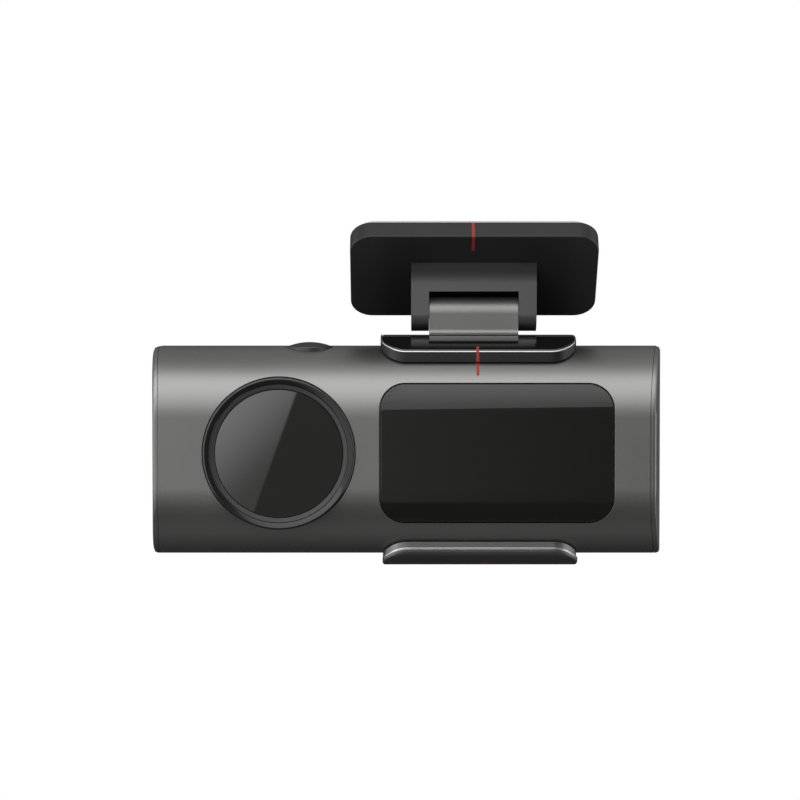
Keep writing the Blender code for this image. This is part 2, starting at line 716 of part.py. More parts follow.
def make_boss(body, name, side, x, rise):
    """A pad with a rim and a pocket, and the cover in the pocket."""
    floor = rise - COVER_THICKNESS - GAP
    boss = boss_solid(0, GAP, rise, side, body, x)
    pocket = boss_solid(-BOSS_RIM, floor, rise + OVER, side, body, x)
    cover = boss_solid(-BOSS_RIM - GAP, floor + GAP, rise, side, body, x)
    cut(boss, pocket)
    return show(boss, name, "gunmetal"), cover


def make_bosses(body):
    upper, upper_cover = make_boss(body, "upper_boss", 1, UPPER_BOSS_X, UPPER_RISE)
    show(upper_cover, "upper_boss_cover", "black_gloss")
    for sign in (-1, 1):
        at = (MOUNT_X + sign * ARM_SCREW_SPACING / 2, HINGE_Y, 0)
        bore = tool(disc(BORE_RADIUS, TOP_Z / 2, BODY_HEIGHT, "Z"), body, at)
        cut(upper, bore)
        cut(upper_cover, bore)
    lower, lower_cover = make_boss(body, "lower_boss", -1, LOWER_BOSS_X, LOWER_RISE)
    show(lower_cover, "lower_boss_cover", "dark_metal")
    for slot in sound_slots(body):
        cut(lower, slot)
        cut(lower_cover, slot)


def sound_slots(body):
    """Slots under the loudspeaker, through everything below it."""
    outline = rounded(SOUND_SLOT_WIDTH, SOUND_SLOT_LENGTH, SOUND_SLOT_WIDTH / 2, 3)
    middle = (SOUND_SLOTS - 1) / 2
    return [
        tool(
            prism(outline, -BODY_HEIGHT, -TOP_Z / 2, "Z"),
            body,
            (LOWER_BOSS_X + (number - middle) * SOUND_SLOT_PITCH, 0, 0),
        )
        for number in range(SOUND_SLOTS)
    ]


# Cabin window and the camera behind it


def make_window(body):
    """A deep outer ring, an inner ring on its ledge, and the smoked glass on the inner ring's lip."""
    at = (WINDOW_X, 0, 0)
    front = FACE_Y - WINDOW_PROUD
    inner_radius = WINDOW_RADIUS - WINDOW_RING_WIDTH
    inner_ring_radius = inner_radius - GAP
    glass_radius = inner_ring_radius - INNER_RING_WIDTH - GAP
    lip_radius = glass_radius - WINDOW_LEDGE
    inner_front = front + GAP
    glass_front = inner_front + GAP / 2
    glass_back = glass_front + WINDOW_GLASS_THICKNESS
    lip_front = glass_back + GAP
    lip_back = lip_front + GAP * 2
    ledge_front = lip_back + GAP
    ledge_back = ledge_front + 2 * GAP
    ring_back = -skin_y(WINDOW_RADIUS, -WALL) + GAP
    outer = turned(
        [
            (WINDOW_RADIUS, front),
            (inner_radius, front),
            (inner_radius, ledge_front),
            (lip_radius, ledge_front),
            (lip_radius, ledge_back),
            (inner_radius, ledge_back),
            (inner_radius, ring_back),
            (WINDOW_RADIUS, ring_back),
        ],
        "Y",
    )
    piece("window_ring", outer, "black_gloss", body, at)
    inner = turned(
        [
            (inner_ring_radius, inner_front),
            (inner_ring_radius - INNER_RING_WIDTH, inner_front),
            (inner_ring_radius - INNER_RING_WIDTH, lip_front),
            (lip_radius, lip_front),
            (lip_radius, lip_back),
            (inner_ring_radius, lip_back),
        ],
        "Y",
    )
    piece("window_inner_ring", inner, "dark_metal", body, at)
    glass = disc(glass_radius, glass_front, glass_back, "Y", ROUND_STEPS)
    piece("window_glass", glass, "smoked_glass", body, at)
    return ledge_back, lip_radius


def make_cabin_camera(body, ledge_back):
    """The barrel with its lens in front and its image board behind."""
    at = (WINDOW_X, 0, 0)
    barrel_front = ledge_back + GAP
    lens_front = barrel_front + GAP
    lens_back = lens_front + CABIN_LENS_THICKNESS
    barrel_back = BOARD_FRONT_Y - CABIN_BARREL_TO_BOARD
    seat_radius = CABIN_LENS_RADIUS + GAP
    barrel = turned(
        [
            (0, lens_back + GAP),
            (seat_radius, lens_back + GAP),
            (seat_radius, barrel_front),
            (CABIN_BARREL_RADIUS, barrel_front),
            (CABIN_BARREL_RADIUS, barrel_back),
            (0, barrel_back),
        ],
        "Y",
        MIDDLE_STEPS,
    )
    piece("cabin_lens_barrel", barrel, "black_plastic", body, at)
    face = domed(CABIN_LENS_RADIUS, lens_front, CABIN_LENS_BULGE)
    cabin_lens = turned(face + [(CABIN_LENS_RADIUS, lens_back), (0, lens_back)], "Y", MIDDLE_STEPS)
    piece("cabin_lens", cabin_lens, "lens_glass", body, at)
    image_board = block(CABIN_BOARD_SIDE, CABIN_BOARD_THICKNESS, CABIN_BOARD_SIDE)
    board_at = (WINDOW_X, barrel_back + GAP + CABIN_BOARD_THICKNESS / 2, 0)
    piece("cabin_image_board", image_board, "board_green", body, board_at)


def make_night_lamps(body, ledge_back, ring_radius):
    """Square lamps round the cabin lens, on a ring board."""
    lamp_front = ledge_back + GAP
    board_front = lamp_front + LAMP_THICKNESS + GAP
    span = (board_front, board_front + LAMP_BOARD_THICKNESS)
    lamp_board = ring(ring_radius, CABIN_BARREL_RADIUS + GAP, *span, "Y")
    piece("night_lamp_board", lamp_board, "board_green", body, (WINDOW_X, 0, 0))
    for number in range(LAMPS):
        turn = (number + 0.5) * math.tau / LAMPS
        x = WINDOW_X + LAMP_CIRCLE_RADIUS * math.cos(turn)
        z = LAMP_CIRCLE_RADIUS * math.sin(turn)
        lamp = block(LAMP_SIDE, LAMP_THICKNESS, LAMP_SIDE)
        lamp_at = (x, lamp_front + LAMP_THICKNESS / 2, z)
        piece(f"night_lamp_{number + 1}", lamp, "lens_glass", body, lamp_at)


# Road camera


def make_road_camera(body):
    """A proud housing ring held behind the back wall, a cone, the lens, its barrel and image board."""
    at = (WINDOW_X, 0, 0)
    front = BODY_DEPTH / 2 + ROAD_PROUD
    flange_radius = ROAD_RADIUS + ROAD_RING_WIDTH
    flange_front = skin_y(flange_radius, -WALL) - GAP
    flange_back = flange_front - ROAD_FLANGE
    bore = ROAD_RADIUS - ROAD_RING_WIDTH
    housing = turned(
        [
            (bore, front),
            (ROAD_RADIUS - ROAD_CHAMFER, front),
            (ROAD_RADIUS, front - ROAD_CHAMFER),
            (ROAD_RADIUS, flange_front),
            (flange_radius, flange_front),
            (flange_radius, flange_back),
            (bore, flange_back),
        ],
        "Y",
    )
    piece("road_lens_housing", housing, "gunmetal", body, at)
    cone_radius = bore - GAP
    throat = ROAD_LENS_RADIUS + GAP
    cone_back = front - ROAD_CONE_DEPTH
    cone = turned(
        [
            (cone_radius, front - GAP),
            (cone_radius - GAP, front - GAP),
            (throat, front - ROAD_CONE_SLOPE),
            (throat, cone_back),
            (cone_radius, cone_back),
        ],
        "Y",
    )
    piece("road_lens_cone", cone, "black_plastic", body, at)
    lens_back = cone_back + GAP
    face = domed(ROAD_LENS_RADIUS, front - ROAD_LENS_SUNK, -ROAD_LENS_BULGE)
    lens = turned(face + [(ROAD_LENS_RADIUS, lens_back), (0, lens_back)], "Y")
    piece("road_front_lens", lens, "lens_glass", body, at)
    board_back = BOARD_BACK_Y + ROAD_BOARD_BEHIND_MAIN
    barrel = disc(ROAD_BARREL_RADIUS, board_back + GAP, cone_back - GAP, "Y", MIDDLE_STEPS)
    piece("road_lens_barrel", barrel, "black_plastic", body, at)
    image_board = block(ROAD_BOARD_SIDE, BOARD_THICKNESS, ROAD_BOARD_SIDE)
    image_at = (WINDOW_X, board_back - BOARD_THICKNESS / 2, 0)
    piece("road_image_board", image_board, "board_green", body, image_at)


# Screen


def make_screen(body):
    """Curved cover glass in the casing's pocket, the flat display behind it and its steel tray."""
    glass = tool(screen_prism(0), body)
    keep_inside(glass, tool(slab(0), body))
    cut(glass, tool(slab(-SCREEN_THICKNESS), body))
    show(glass, "screen_glass", "smoked_glass")
    corner_room = SCREEN_RADIUS - SCREEN_LEDGE
    length = SCREEN_LENGTH - 2 * SCREEN_LEDGE - corner_room
    height = SCREEN_HEIGHT - 2 * SCREEN_LEDGE - corner_room * 2 / 3
    panel_y = FACE_Y + DISPLAY_BEHIND_FACE + DISPLAY_THICKNESS / 2
    panel = block(length, DISPLAY_THICKNESS, height)
    piece("display_panel", panel, "black_plastic", body, (SCREEN_X, panel_y, 0))
    tray_y = panel_y + DISPLAY_THICKNESS / 2 + GAP + TRAY_THICKNESS / 2
    tray_at = (SCREEN_X, tray_y, 0)
    tray = piece("display_tray", block(length, TRAY_THICKNESS, height), "steel", body, tray_at)
    slot = block(length / 4, 4 * TRAY_THICKNESS, height / 8)
    cut(tray, tool(slot, body, (SCREEN_X + length / 4, tray_y, -height / 3)))
    return tray_y + TRAY_THICKNESS / 2


# Boards and what is on them


def make_main_board(body):
    """The board between the screw posts, notched over the loudspeaker."""
    middle_y = (BOARD_FRONT_Y + BOARD_BACK_Y) / 2
    board = block(2 * (POST_X + POST_RADIUS), BOARD_THICKNESS, 2 * BOARD_HALF_HEIGHT)
    main = piece("main_board", board, "board_green", body, (0, middle_y, 0))
    for x, z in post_places():
        bore = disc(BORE_RADIUS, BOARD_FRONT_Y - OVER, BOARD_BACK_Y + OVER, "Y")
        cut(main, tool(bore, body, (x, 0, z)))
    notch_top = speaker_bottom() + SPEAKER_THICKNESS + GAP
    notch_height = notch_top + TOP_Z
    notch = block(2 * (SPEAKER_RADIUS + GAP), 4 * BOARD_THICKNESS, notch_height)
    cut(main, tool(notch, body, (LOWER_BOSS_X, middle_y, notch_top - notch_height / 2)))


def make_heat_path(body):
    """The processor's shield on the board, and the finned heat spreader on the shield."""
    shield_front = BOARD_BACK_Y + GAP
    shield = block(SHIELD_SIDE, SHIELD_THICKNESS, SHIELD_SIDE)
    shield_at = (MOUNT_X, shield_front + SHIELD_THICKNESS / 2, 0)
    piece("processor_shield", shield, "steel", body, shield_at)
    spreader_front = shield_front + SHIELD_THICKNESS + GAP
    plate = block(SPREADER_LENGTH, SPREADER_THICKNESS, SPREADER_HEIGHT)
    spreader_at = (MOUNT_X, spreader_front + SPREADER_THICKNESS / 2, 0)
    spreader = piece("heat_spreader", plate, "aluminium", body, spreader_at)
    fin_y = spreader_front + SPREADER_THICKNESS / 2 + FIN_DEPTH / 2
    for number in range(FINS):
        fin = block(FIN_LENGTH, FIN_DEPTH, FIN_THICKNESS)
        fin_z = (number - (FINS - 1) / 2) * FIN_PITCH
        join(spreader, tool(fin, body, (MOUNT_X, fin_y, fin_z)))


def make_capacitors(body, tray_back):
    """Two storage capacitors between the display's tray and the board."""
    y = (tray_back + BOARD_FRONT_Y) / 2
    for name, sign in (("upper", 1), ("lower", -1)):
        can = disc(CAPACITOR_RADIUS, -CAPACITOR_LENGTH / 2, CAPACITOR_LENGTH / 2, "X", MIDDLE_STEPS)
        at = (SCREEN_X, y, sign * CAPACITOR_Z)
        piece(f"supercapacitor_{name}", can, "dark_metal", body, at)


def make_ribbon(body, tray_back):
    """The display's ribbon: along the tray, across to the board, and along the board."""
    x = SCREEN_X - SCREEN_LENGTH / 4 - CAPACITOR_LENGTH / 8
    near = tray_back + GAP
    far = BOARD_FRONT_Y - GAP
    outline = [
        (-RIBBON_REACH, near),
        (0, near),
        (0, far - RIBBON_THICKNESS),
        (RIBBON_REACH, far - RIBBON_THICKNESS),
        (RIBBON_REACH, far),
        (-RIBBON_THICKNESS, far),
        (-RIBBON_THICKNESS, near + RIBBON_THICKNESS),
        (-RIBBON_REACH, near + RIBBON_THICKNESS),
    ]
    ribbon = prism(outline, -RIBBON_WIDTH / 2, RIBBON_WIDTH / 2, "Z")
    piece("display_ribbon", ribbon, "ribbon_amber", body, (x, 0, 0))


def speaker_bottom():
    """The loudspeaker's rim rests on the casing's lower wall."""
    return GAP - skin_z(SPEAKER_RADIUS, -WALL)


def make_speaker(body):
    """A low drum with a dished face and a sloping back."""
    bottom = speaker_bottom()
    speaker = turned(
        [
            (0, bottom),
            (SPEAKER_RADIUS / 2, bottom + SPEAKER_THICKNESS / 4),
            (SPEAKER_RADIUS - SPEAKER_RIM, bottom),
            (SPEAKER_RADIUS, bottom),
            (SPEAKER_RADIUS, bottom + SPEAKER_THICKNESS / 2),
            (SPEAKER_RADIUS * 2 / 3, bottom + SPEAKER_THICKNESS),
            (0, bottom + SPEAKER_THICKNESS),
        ],
        "Z",
        MIDDLE_STEPS,
    )
    piece("speaker", speaker, "black_plastic", body, (LOWER_BOSS_X, 0, 0))


def socket_y():
    """The power socket lies on the road side of the main board."""
    return BOARD_BACK_Y + GAP + SOCKET_THICKNESS / 2


def make_power_socket(body):
    """Metal sleeve open to the left end, with its contact tongue."""
    mouth_x = end_x(-1, socket_y(), CARD_SHY)
    radius = SOCKET_THICKNESS / 2 - GAP / 2
    outline = rounded(SOCKET_THICKNESS, SOCKET_HEIGHT, radius)
    at = (mouth_x, socket_y(), 0)
    sleeve = piece("power_socket", prism(outline, 0, SOCKET_DEPTH, "X"), "steel", body, at)
    wide = SOCKET_THICKNESS - 2 * SOCKET_WALL
    high = SOCKET_HEIGHT - 2 * SOCKET_WALL
    inside = rounded(wide, high, radius - SOCKET_WALL)
    cut(sleeve, tool(prism(inside, -OVER, SOCKET_DEPTH - OVER, "X"), body, at))
    tongue = block(SOCKET_DEPTH - 2 * OVER, TONGUE_THICKNESS, SOCKET_HEIGHT - 8 * SOCKET_WALL)
    join(sleeve, tool(tongue, body, (mouth_x + SOCKET_DEPTH / 2 + OVER / 2, socket_y(), 0)))


def card_y():
    """The memory card lies on the road side of the main board, inside its holder."""
    return BOARD_BACK_Y + GAP + CARD_HOLDER_WALL + GAP + CARD_THICKNESS / 2


def card_end_x():
    """The card's outer end, a little inside the right cap's face."""
    return end_x(1, card_y(), CARD_SHY)


def make_card_holder(body):
    """A flat cage on the board, open to the right end. The card's spring catch is inside."""
    back_x = card_end_x() - CARD_LENGTH - CARD_TRAVEL_IN - GAP - CARD_HOLDER_WALL
    front_x = end_x(1, card_y(), CAP_RIM + CAP_PLUG + GAP)
    length = front_x - back_x
    thickness = CARD_THICKNESS + 2 * GAP + 2 * CARD_HOLDER_WALL
    width = CARD_WIDTH + 2 * GAP + 2 * CARD_HOLDER_WALL
    middle_x = (front_x + back_x) / 2
    at = (middle_x, card_y(), CARD_Z)
    cage = piece("card_holder", block(length, thickness, width), "steel", body, at)
    space = block(length, CARD_THICKNESS + 2 * GAP, CARD_WIDTH + 2 * GAP)
    cut(cage, tool(space, body, (middle_x + CARD_HOLDER_WALL, card_y(), CARD_Z)))


def make_memory_card(body):
    """A flat card with a notch at one corner of its inner end."""
    half_length = CARD_LENGTH / 2
    half_width = CARD_WIDTH / 2
    outline = [
        (-half_length, -half_width),
        (half_length, -half_width),
        (half_length, half_width),
        (-half_length + CARD_CORNER, half_width),
        (-half_length + CARD_CORNER - CARD_NOTCH, half_width - CARD_NOTCH),
        (-half_length, half_width - CARD_NOTCH),
    ]
    shape = prism(outline, -CARD_THICKNESS / 2, CARD_THICKNESS / 2, "Y")
    at = (card_end_x() - half_length, card_y(), CARD_Z)
    piece("memory_card", shape, "black_plastic", body, at)


# Power button


def make_button(body):
    """A domed cap held under the casing by its flange, over the switch on the main board."""
    flange_radius = BUTTON_RADIUS + BUTTON_FLANGE_WIDTH
    flange_top = skin_z(BUTTON_Y - flange_radius, -WALL) - GAP
    flange_bottom = flange_top - BUTTON_FLANGE
    stem_tip = switch_top() + GAP + BUTTON_TRAVEL
    profile = domed(BUTTON_RADIUS, TOP_Z + BUTTON_PROUD, -BUTTON_DOME) + [
        (BUTTON_RADIUS, flange_top),
        (flange_radius, flange_top),
        (flange_radius, flange_bottom),
        (BUTTON_STEM_RADIUS, flange_bottom),
        (BUTTON_STEM_RADIUS, stem_tip),
        (0, stem_tip),
    ]
    lowered = [(radius, height - TOP_Z) for radius, height in profile]
    piece("power_button", turned(lowered, "Z"), "dark_metal", body, (BUTTON_X, BUTTON_Y, TOP_Z))


def switch_top():
    """Height of the switch's plunger, a little under the board's top edge."""
    return BOARD_HALF_HEIGHT - SWITCH_BELOW_EDGE


def make_switch(body):
    """The switch under the button, on the driver's side of the board."""
    case_top = switch_top() - PLUNGER_RISE
    y = BOARD_FRONT_Y - GAP - SWITCH_DEPTH / 2
    case = block(SWITCH_LENGTH, SWITCH_DEPTH, SWITCH_HEIGHT)
    case_at = (BUTTON_X, y, case_top - SWITCH_HEIGHT / 2)
    switch = piece("button_switch", case, "black_plastic", body, case_at)
    plunger = disc(PLUNGER_RADIUS, case_top - OVER, switch_top(), "Z", SHANK_STEPS)
    join(switch, tool(plunger, body, (BUTTON_X, y, 0)))


def make_microphone(body):
    """A small can with a port, on the driver's side of the board, near the left end."""
    can = turned(
        [
            (0, 0),
            (MICROPHONE_RADIUS, 0),
            (MICROPHONE_RADIUS, -MICROPHONE_HEIGHT),
            (PORT_RADIUS, -MICROPHONE_HEIGHT),
            (PORT_RADIUS, PORT_DEPTH - MICROPHONE_HEIGHT),
            (0, PORT_DEPTH - MICROPHONE_HEIGHT),
        ],
        "Y",
        SMALL_STEPS,
    )
    piece("microphone", can, "steel", body, (-POST_X, BOARD_FRONT_Y - GAP, 0))


def main():
    clear_scene()
    hinge = Matrix.Rotation(-RAKE, 4, "X") @ hinge_in_mount()
    mount = frame("mount", turn_x=-RAKE)
    barrel = frame("hinge_barrel", at=hinge)
    tilt = frame("tilt_axis", at=hinge)
    body = frame("camera", parent=tilt, at=(-MOUNT_X, -HINGE_Y, -HINGE_Z))

    make_pad_and_plate(mount)
    make_bracket_screws(mount)
    make_bracket(barrel, mount)
    make_hinge_pin_and_washers(barrel)
    make_arm(tilt)
    make_arm_screws(body)

    front_shell, back_shell = make_shells(body)
    open_shells(front_shell, back_shell, body)
    make_case_screws(body)
    make_end_caps(body)
    make_bosses(body)

    ledge_back, lip_radius = make_window(body)
    make_cabin_camera(body, ledge_back)
    make_night_lamps(body, ledge_back, lip_radius)
    make_road_camera(body)
    tray_back = make_screen(body)
    make_main_board(body)
    make_heat_path(body)
    make_capacitors(body, tray_back)
    make_ribbon(body, tray_back)
    make_speaker(body)
    make_power_socket(body)
    make_card_holder(body)
    make_memory_card(body)
    make_button(body)
    make_switch(body)
    make_microphone(body)


main()
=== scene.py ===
"""Looks of a bar-shaped dash camera under its windscreen bracket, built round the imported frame."""

import logging
import math
from collections.abc import Callable, Iterator
from contextlib import contextmanager
from dataclasses import dataclass, field, replace
from enum import Enum

import bmesh
import bpy
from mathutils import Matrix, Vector


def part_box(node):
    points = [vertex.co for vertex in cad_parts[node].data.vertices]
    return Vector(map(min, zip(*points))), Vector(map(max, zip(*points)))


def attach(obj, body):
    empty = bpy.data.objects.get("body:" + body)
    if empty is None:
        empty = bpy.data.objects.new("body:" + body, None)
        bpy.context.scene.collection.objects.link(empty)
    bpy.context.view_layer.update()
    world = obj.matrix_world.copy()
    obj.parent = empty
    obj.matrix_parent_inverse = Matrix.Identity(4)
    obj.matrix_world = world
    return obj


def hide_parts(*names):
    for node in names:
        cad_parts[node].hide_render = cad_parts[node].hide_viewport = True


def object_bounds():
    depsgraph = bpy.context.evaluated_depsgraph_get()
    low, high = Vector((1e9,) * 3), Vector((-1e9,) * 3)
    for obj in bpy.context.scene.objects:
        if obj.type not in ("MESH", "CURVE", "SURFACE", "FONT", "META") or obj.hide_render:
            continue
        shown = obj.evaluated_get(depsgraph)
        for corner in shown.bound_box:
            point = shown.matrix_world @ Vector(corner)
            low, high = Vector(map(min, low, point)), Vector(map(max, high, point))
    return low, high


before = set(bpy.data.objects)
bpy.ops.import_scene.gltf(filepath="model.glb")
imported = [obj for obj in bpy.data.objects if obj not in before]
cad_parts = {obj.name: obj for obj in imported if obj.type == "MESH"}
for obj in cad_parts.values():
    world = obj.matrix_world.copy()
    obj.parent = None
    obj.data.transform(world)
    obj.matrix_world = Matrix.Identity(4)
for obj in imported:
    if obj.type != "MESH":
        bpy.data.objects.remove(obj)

LOG = logging.getLogger("dash_camera")
CAD_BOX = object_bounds()
MM = 0.001
FIT = 0.06 * MM  # the real clearance between pieces that look joined
FAR = 300.0 * MM  # longer than anything that is cut
SLIVER = 0.05 * MM  # edges shorter than this only get in a bevel's way
DOUBLE = 0.0001 * MM  # points this close are one point
SHARP = 35.0  # degrees between two faces that meet in an edge worth rounding
SMOOTHED = 28.0  # degrees: an edge under this is shaded smooth
SHARED = 30.0  # degrees: a bevel's face this near to its neighbour takes its normal

Point2 = tuple[float, float]
Point3 = tuple[float, float, float]
Rgba = tuple[float, float, float, float]


class Axis(Enum):
    """A direction of the frame, with the two that an outline across it is drawn in."""

    X = ("X", (0, 1, 2))
    Y = ("Y", (1, 0, 2))
    Z = ("Z", (2, 0, 1))

    def point(self, a: float, b: float, along: float) -> Vector:
        """The point (a, b) of an outline, this far along the axis.

        Args:
            a: the outline's first measure.
            b: its second measure.
            along: the place along the axis.

        Returns:
            The point in the frame.
        """
        order = self.value[1]
        spot = [0.0, 0.0, 0.0]
        spot[order[0]], spot[order[1]], spot[order[2]] = along, a, b
        return Vector(spot)


class Join(Enum):
    """How one solid acts on another."""

    CUT = "DIFFERENCE"
    ADD = "UNION"
    COMMON = "INTERSECT"


# ---------------------------------------------------------------- measures of the frame


@dataclass(frozen=True)
class Span:
    """The box round one or more nodes of the frame, at rest."""

    low: Vector
    high: Vector

    @classmethod
    def of(cls, *nodes: str) -> "Span":
        """Measures nodes.

        Args:
            nodes: names of nodes of the frame.

        Returns:
            The box round all of them.
        """
        boxes = [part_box(node) for node in nodes]
        low = Vector([min(box[0][i] for box in boxes) for i in range(3)])
        high = Vector([max(box[1][i] for box in boxes) for i in range(3)])
        return cls(low, high)

    @property
    def centre(self) -> Vector:
        """The middle of the box."""
        return (self.low + self.high) / 2

    @property
    def size(self) -> Vector:
        """The box's three sides."""
        return self.high - self.low


def arc(centre: Point2, radius: float, start: float, end: float, steps: int) -> list[Point2]:
    """Points along an arc.

    Args:
        centre: the arc's centre.
        radius: its radius in metres.
        start: first angle in degrees.
        end: last angle in degrees.
        steps: how many chords.

    Returns:
        The points, both ends included.
    """
    turns = [math.radians(start + (end - start) * step / steps) for step in range(steps + 1)]
    return [(centre[0] + radius * math.cos(t), centre[1] + radius * math.sin(t)) for t in turns]


# ---------------------------------------------------------------- workbench


class Bench:
    """Modelling steps, each one or two of Blender's own operators."""

    @staticmethod
    def only(obj: bpy.types.Object) -> None:
        """Selects this object and nothing else.

        Args:
            obj: the object, which also becomes the active one.
        """
        bpy.ops.object.select_all(action="DESELECT")
        obj.select_set(True)
        bpy.context.view_layer.objects.active = obj

    @staticmethod
    @contextmanager
    def editing(obj: bpy.types.Object) -> Iterator[None]:
        """Edit mode on one object, and back.

        Args:
            obj: the object.

        Yields:
            Once, in edit mode.
        """
        Bench.only(obj)
        bpy.ops.object.mode_set(mode="EDIT")
        yield
        bpy.ops.object.mode_set(mode="OBJECT")

    @staticmethod
    def added(name: str) -> bpy.types.Object:
        """Names the primitive just added, and bakes its place into its mesh.

        Args:
            name: the name for the object and its mesh.

        Returns:
            The object.
        """
        obj = bpy.context.active_object
        obj.name = name
        obj.data.name = name
        Bench.only(obj)
        bpy.ops.object.transform_apply(location=True, rotation=True, scale=True)
        return obj

    @staticmethod
    def box(name: str, low: Vector, high: Vector) -> bpy.types.Object:
        """A box between two corners.

        Args:
            name: the object's name.
            low: its lowest corner.
            high: its highest corner.

        Returns:
            The box.
        """
        bpy.ops.object.select_all(action="DESELECT")
        bpy.ops.mesh.primitive_cube_add(size=1, location=(Vector(low) + Vector(high)) / 2)
        bpy.context.active_object.scale = Vector(high) - Vector(low)
        return Bench.added(name)

    @staticmethod
    def copy(obj: bpy.types.Object, name: str) -> bpy.types.Object:
        """A second object with its own mesh.

        Args:
            obj: the object that is copied.
            name: the new object's name.

        Returns:
            The copy.
        """
        Bench.only(obj)
        bpy.ops.object.duplicate()
        return Bench.added(name)

    @staticmethod
    def drum(
        name: str, centre: Vector, radius: float, span: Point2, axis: Axis, sides: int = 160
    ) -> bpy.types.Object:
        """A cylinder along an axis, between two places on it.

        Args:
            name: the object's name.
            centre: a point on the cylinder's own axis.
            radius: its radius.
            span: where it starts and ends along the axis.
            axis: the direction that it lies in.
            sides: how many flat sides it has.

        Returns:
            The cylinder.
        """
        along = (span[0] + span[1]) / 2
        order = axis.value[1]
        at = axis.point(centre[order[1]], centre[order[2]], along)
        turn = {Axis.X: (0, math.pi / 2, 0), Axis.Y: (math.pi / 2, 0, 0), Axis.Z: (0, 0, 0)}[axis]
        bpy.ops.object.select_all(action="DESELECT")
        depth = abs(span[1] - span[0])
        bpy.ops.mesh.primitive_cylinder_add(
            vertices=sides, radius=radius, depth=depth, location=at, rotation=turn
        )
        return Bench.added(name)

    @staticmethod
    def traced(name: str, points: list[Vector], filled: bool = False) -> bpy.types.Object:
        """A line drawn by extruding one vertex from point to point.

        Args:
            name: the object's name.
            points: the points, in order.
            filled: whether the line is closed by a face.

        Returns:
            The line, or the face.
        """
        bpy.ops.object.select_all(action="DESELECT")
        bpy.ops.mesh.primitive_plane_add(size=MM, location=points[0])
        obj = Bench.added(name)
        with Bench.editing(obj):
            bpy.ops.mesh.select_mode(type="VERT")
            bpy.ops.mesh.select_all(action="SELECT")
            bpy.ops.mesh.merge(type="CENTER")
            for here, there in zip(points, points[1:]):
                bpy.ops.mesh.extrude_region_move(TRANSFORM_OT_translate={"value": there - here})
            bpy.ops.mesh.select_all(action="SELECT")
            if filled:
                bpy.ops.mesh.edge_face_add()
        return obj

    @staticmethod
    def pull(obj: bpy.types.Object, by: Vector) -> None:
        """Extrudes a flat face into a solid.

        Args:
            obj: the face.
            by: how far, and which way.
        """
        with Bench.editing(obj):
            bpy.ops.mesh.select_all(action="SELECT")
            bpy.ops.mesh.extrude_region_move(TRANSFORM_OT_translate={"value": by})
        Bench.outward(obj)

    @staticmethod
    def outward(obj: bpy.types.Object) -> None:
        """Merges doubles and turns the faces outwards.

        Args:
            obj: the solid.
        """
        with Bench.editing(obj):
            bpy.ops.mesh.select_all(action="SELECT")
            bpy.ops.mesh.remove_doubles(threshold=DOUBLE)
            bpy.ops.mesh.normals_make_consistent(inside=False)

    @staticmethod
    def prism(name: str, outline: list[Point2], low: float, high: float, axis: Axis) -> bpy.types.Object:
        """An outline pulled straight along an axis.

        Args:
            name: the object's name.
            outline: the points of the outline, in metres.
            low: where it starts along the axis.
            high: where it ends.
            axis: the axis.

        Returns:
            The closed solid.
        """
        obj = Bench.traced(name, [axis.point(a, b, low) for a, b in outline], True)
        Bench.pull(obj, axis.point(0, 0, high - low))
        return obj

    @staticmethod
    def pad(
        name: str, centre: Vector, size: Point2, radius: float, span: Point2, axis: Axis, steps: int = 14
    ) -> bpy.types.Object:
        """A block with four round corners: a plane with bevelled corners, pulled along an axis.

        Args:
            name: the object's name.
            centre: its middle; only the two sizes across the axis are read.
            size: its two sides across the axis.
            radius: its corner radius.
            span: where it starts and ends along the axis.
            axis: the axis.
            steps: segments of each corner.

        Returns:
            The closed solid.
        """
        order = axis.value[1]
        middle = (centre[order[1]], centre[order[2]])
        half = (size[0] / 2, size[1] / 2)
        signs = ((-1, -1), (1, -1), (1, 1), (-1, 1))
        corners = [(middle[0] + a * half[0], middle[1] + b * half[1]) for a, b in signs]
        obj = Bench.traced(name, [axis.point(a, b, span[0]) for a, b in corners], True)
        with Bench.editing(obj):
            bpy.ops.mesh.select_all(action="SELECT")
            bpy.ops.mesh.bevel(offset=radius, segments=steps, affect="VERTICES")
        Bench.pull(obj, axis.point(0, 0, span[1] - span[0]))
        return obj

    @staticmethod
    def turned(
        name: str, profile: list[Point2], centre: Vector, axis: Axis, steps: int = 128
    ) -> bpy.types.Object:
        """A closed profile of (radius, along) spun about an axis.

        Args:
            name: the object's name.
            profile: the profile's points. Along is counted from the centre.
            centre: a point on the axis.
            axis: the axis.
            steps: how many sides.

        Returns:
            The closed solid.
        """
        points = [centre + axis.point(radius, 0, along) for radius, along in profile]
        obj = Bench.traced(name, [*points, points[0]])
        with Bench.editing(obj):
            bpy.ops.mesh.select_all(action="SELECT")
            about = axis.point(0, 0, 1)
            bpy.ops.mesh.spin(steps=steps, angle=math.tau, center=centre, axis=about)
            bpy.ops.mesh.select_all(action="SELECT")
            bpy.ops.mesh.remove_doubles(threshold=10 * DOUBLE)
            bpy.ops.mesh.delete_loose()
        Bench.outward(obj)
        return obj

    @staticmethod
    def combine(target: bpy.types.Object, other: bpy.types.Object, how: Join, keep: bool = False) -> None:
        """Cuts, adds or trims.

        Args:
            target: the solid that is changed.
            other: the solid that acts on it.
            how: the way they are combined.
            keep: whether the other solid stays afterwards.
        """
        Bench.only(target)
        modifier = target.modifiers.new("combine", "BOOLEAN")
        modifier.operation = how.value
        modifier.solver = "EXACT"
        modifier.object = other
        bpy.ops.object.modifier_apply(modifier=modifier.name)
        if not keep:
            bpy.data.objects.remove(other, do_unlink=True)

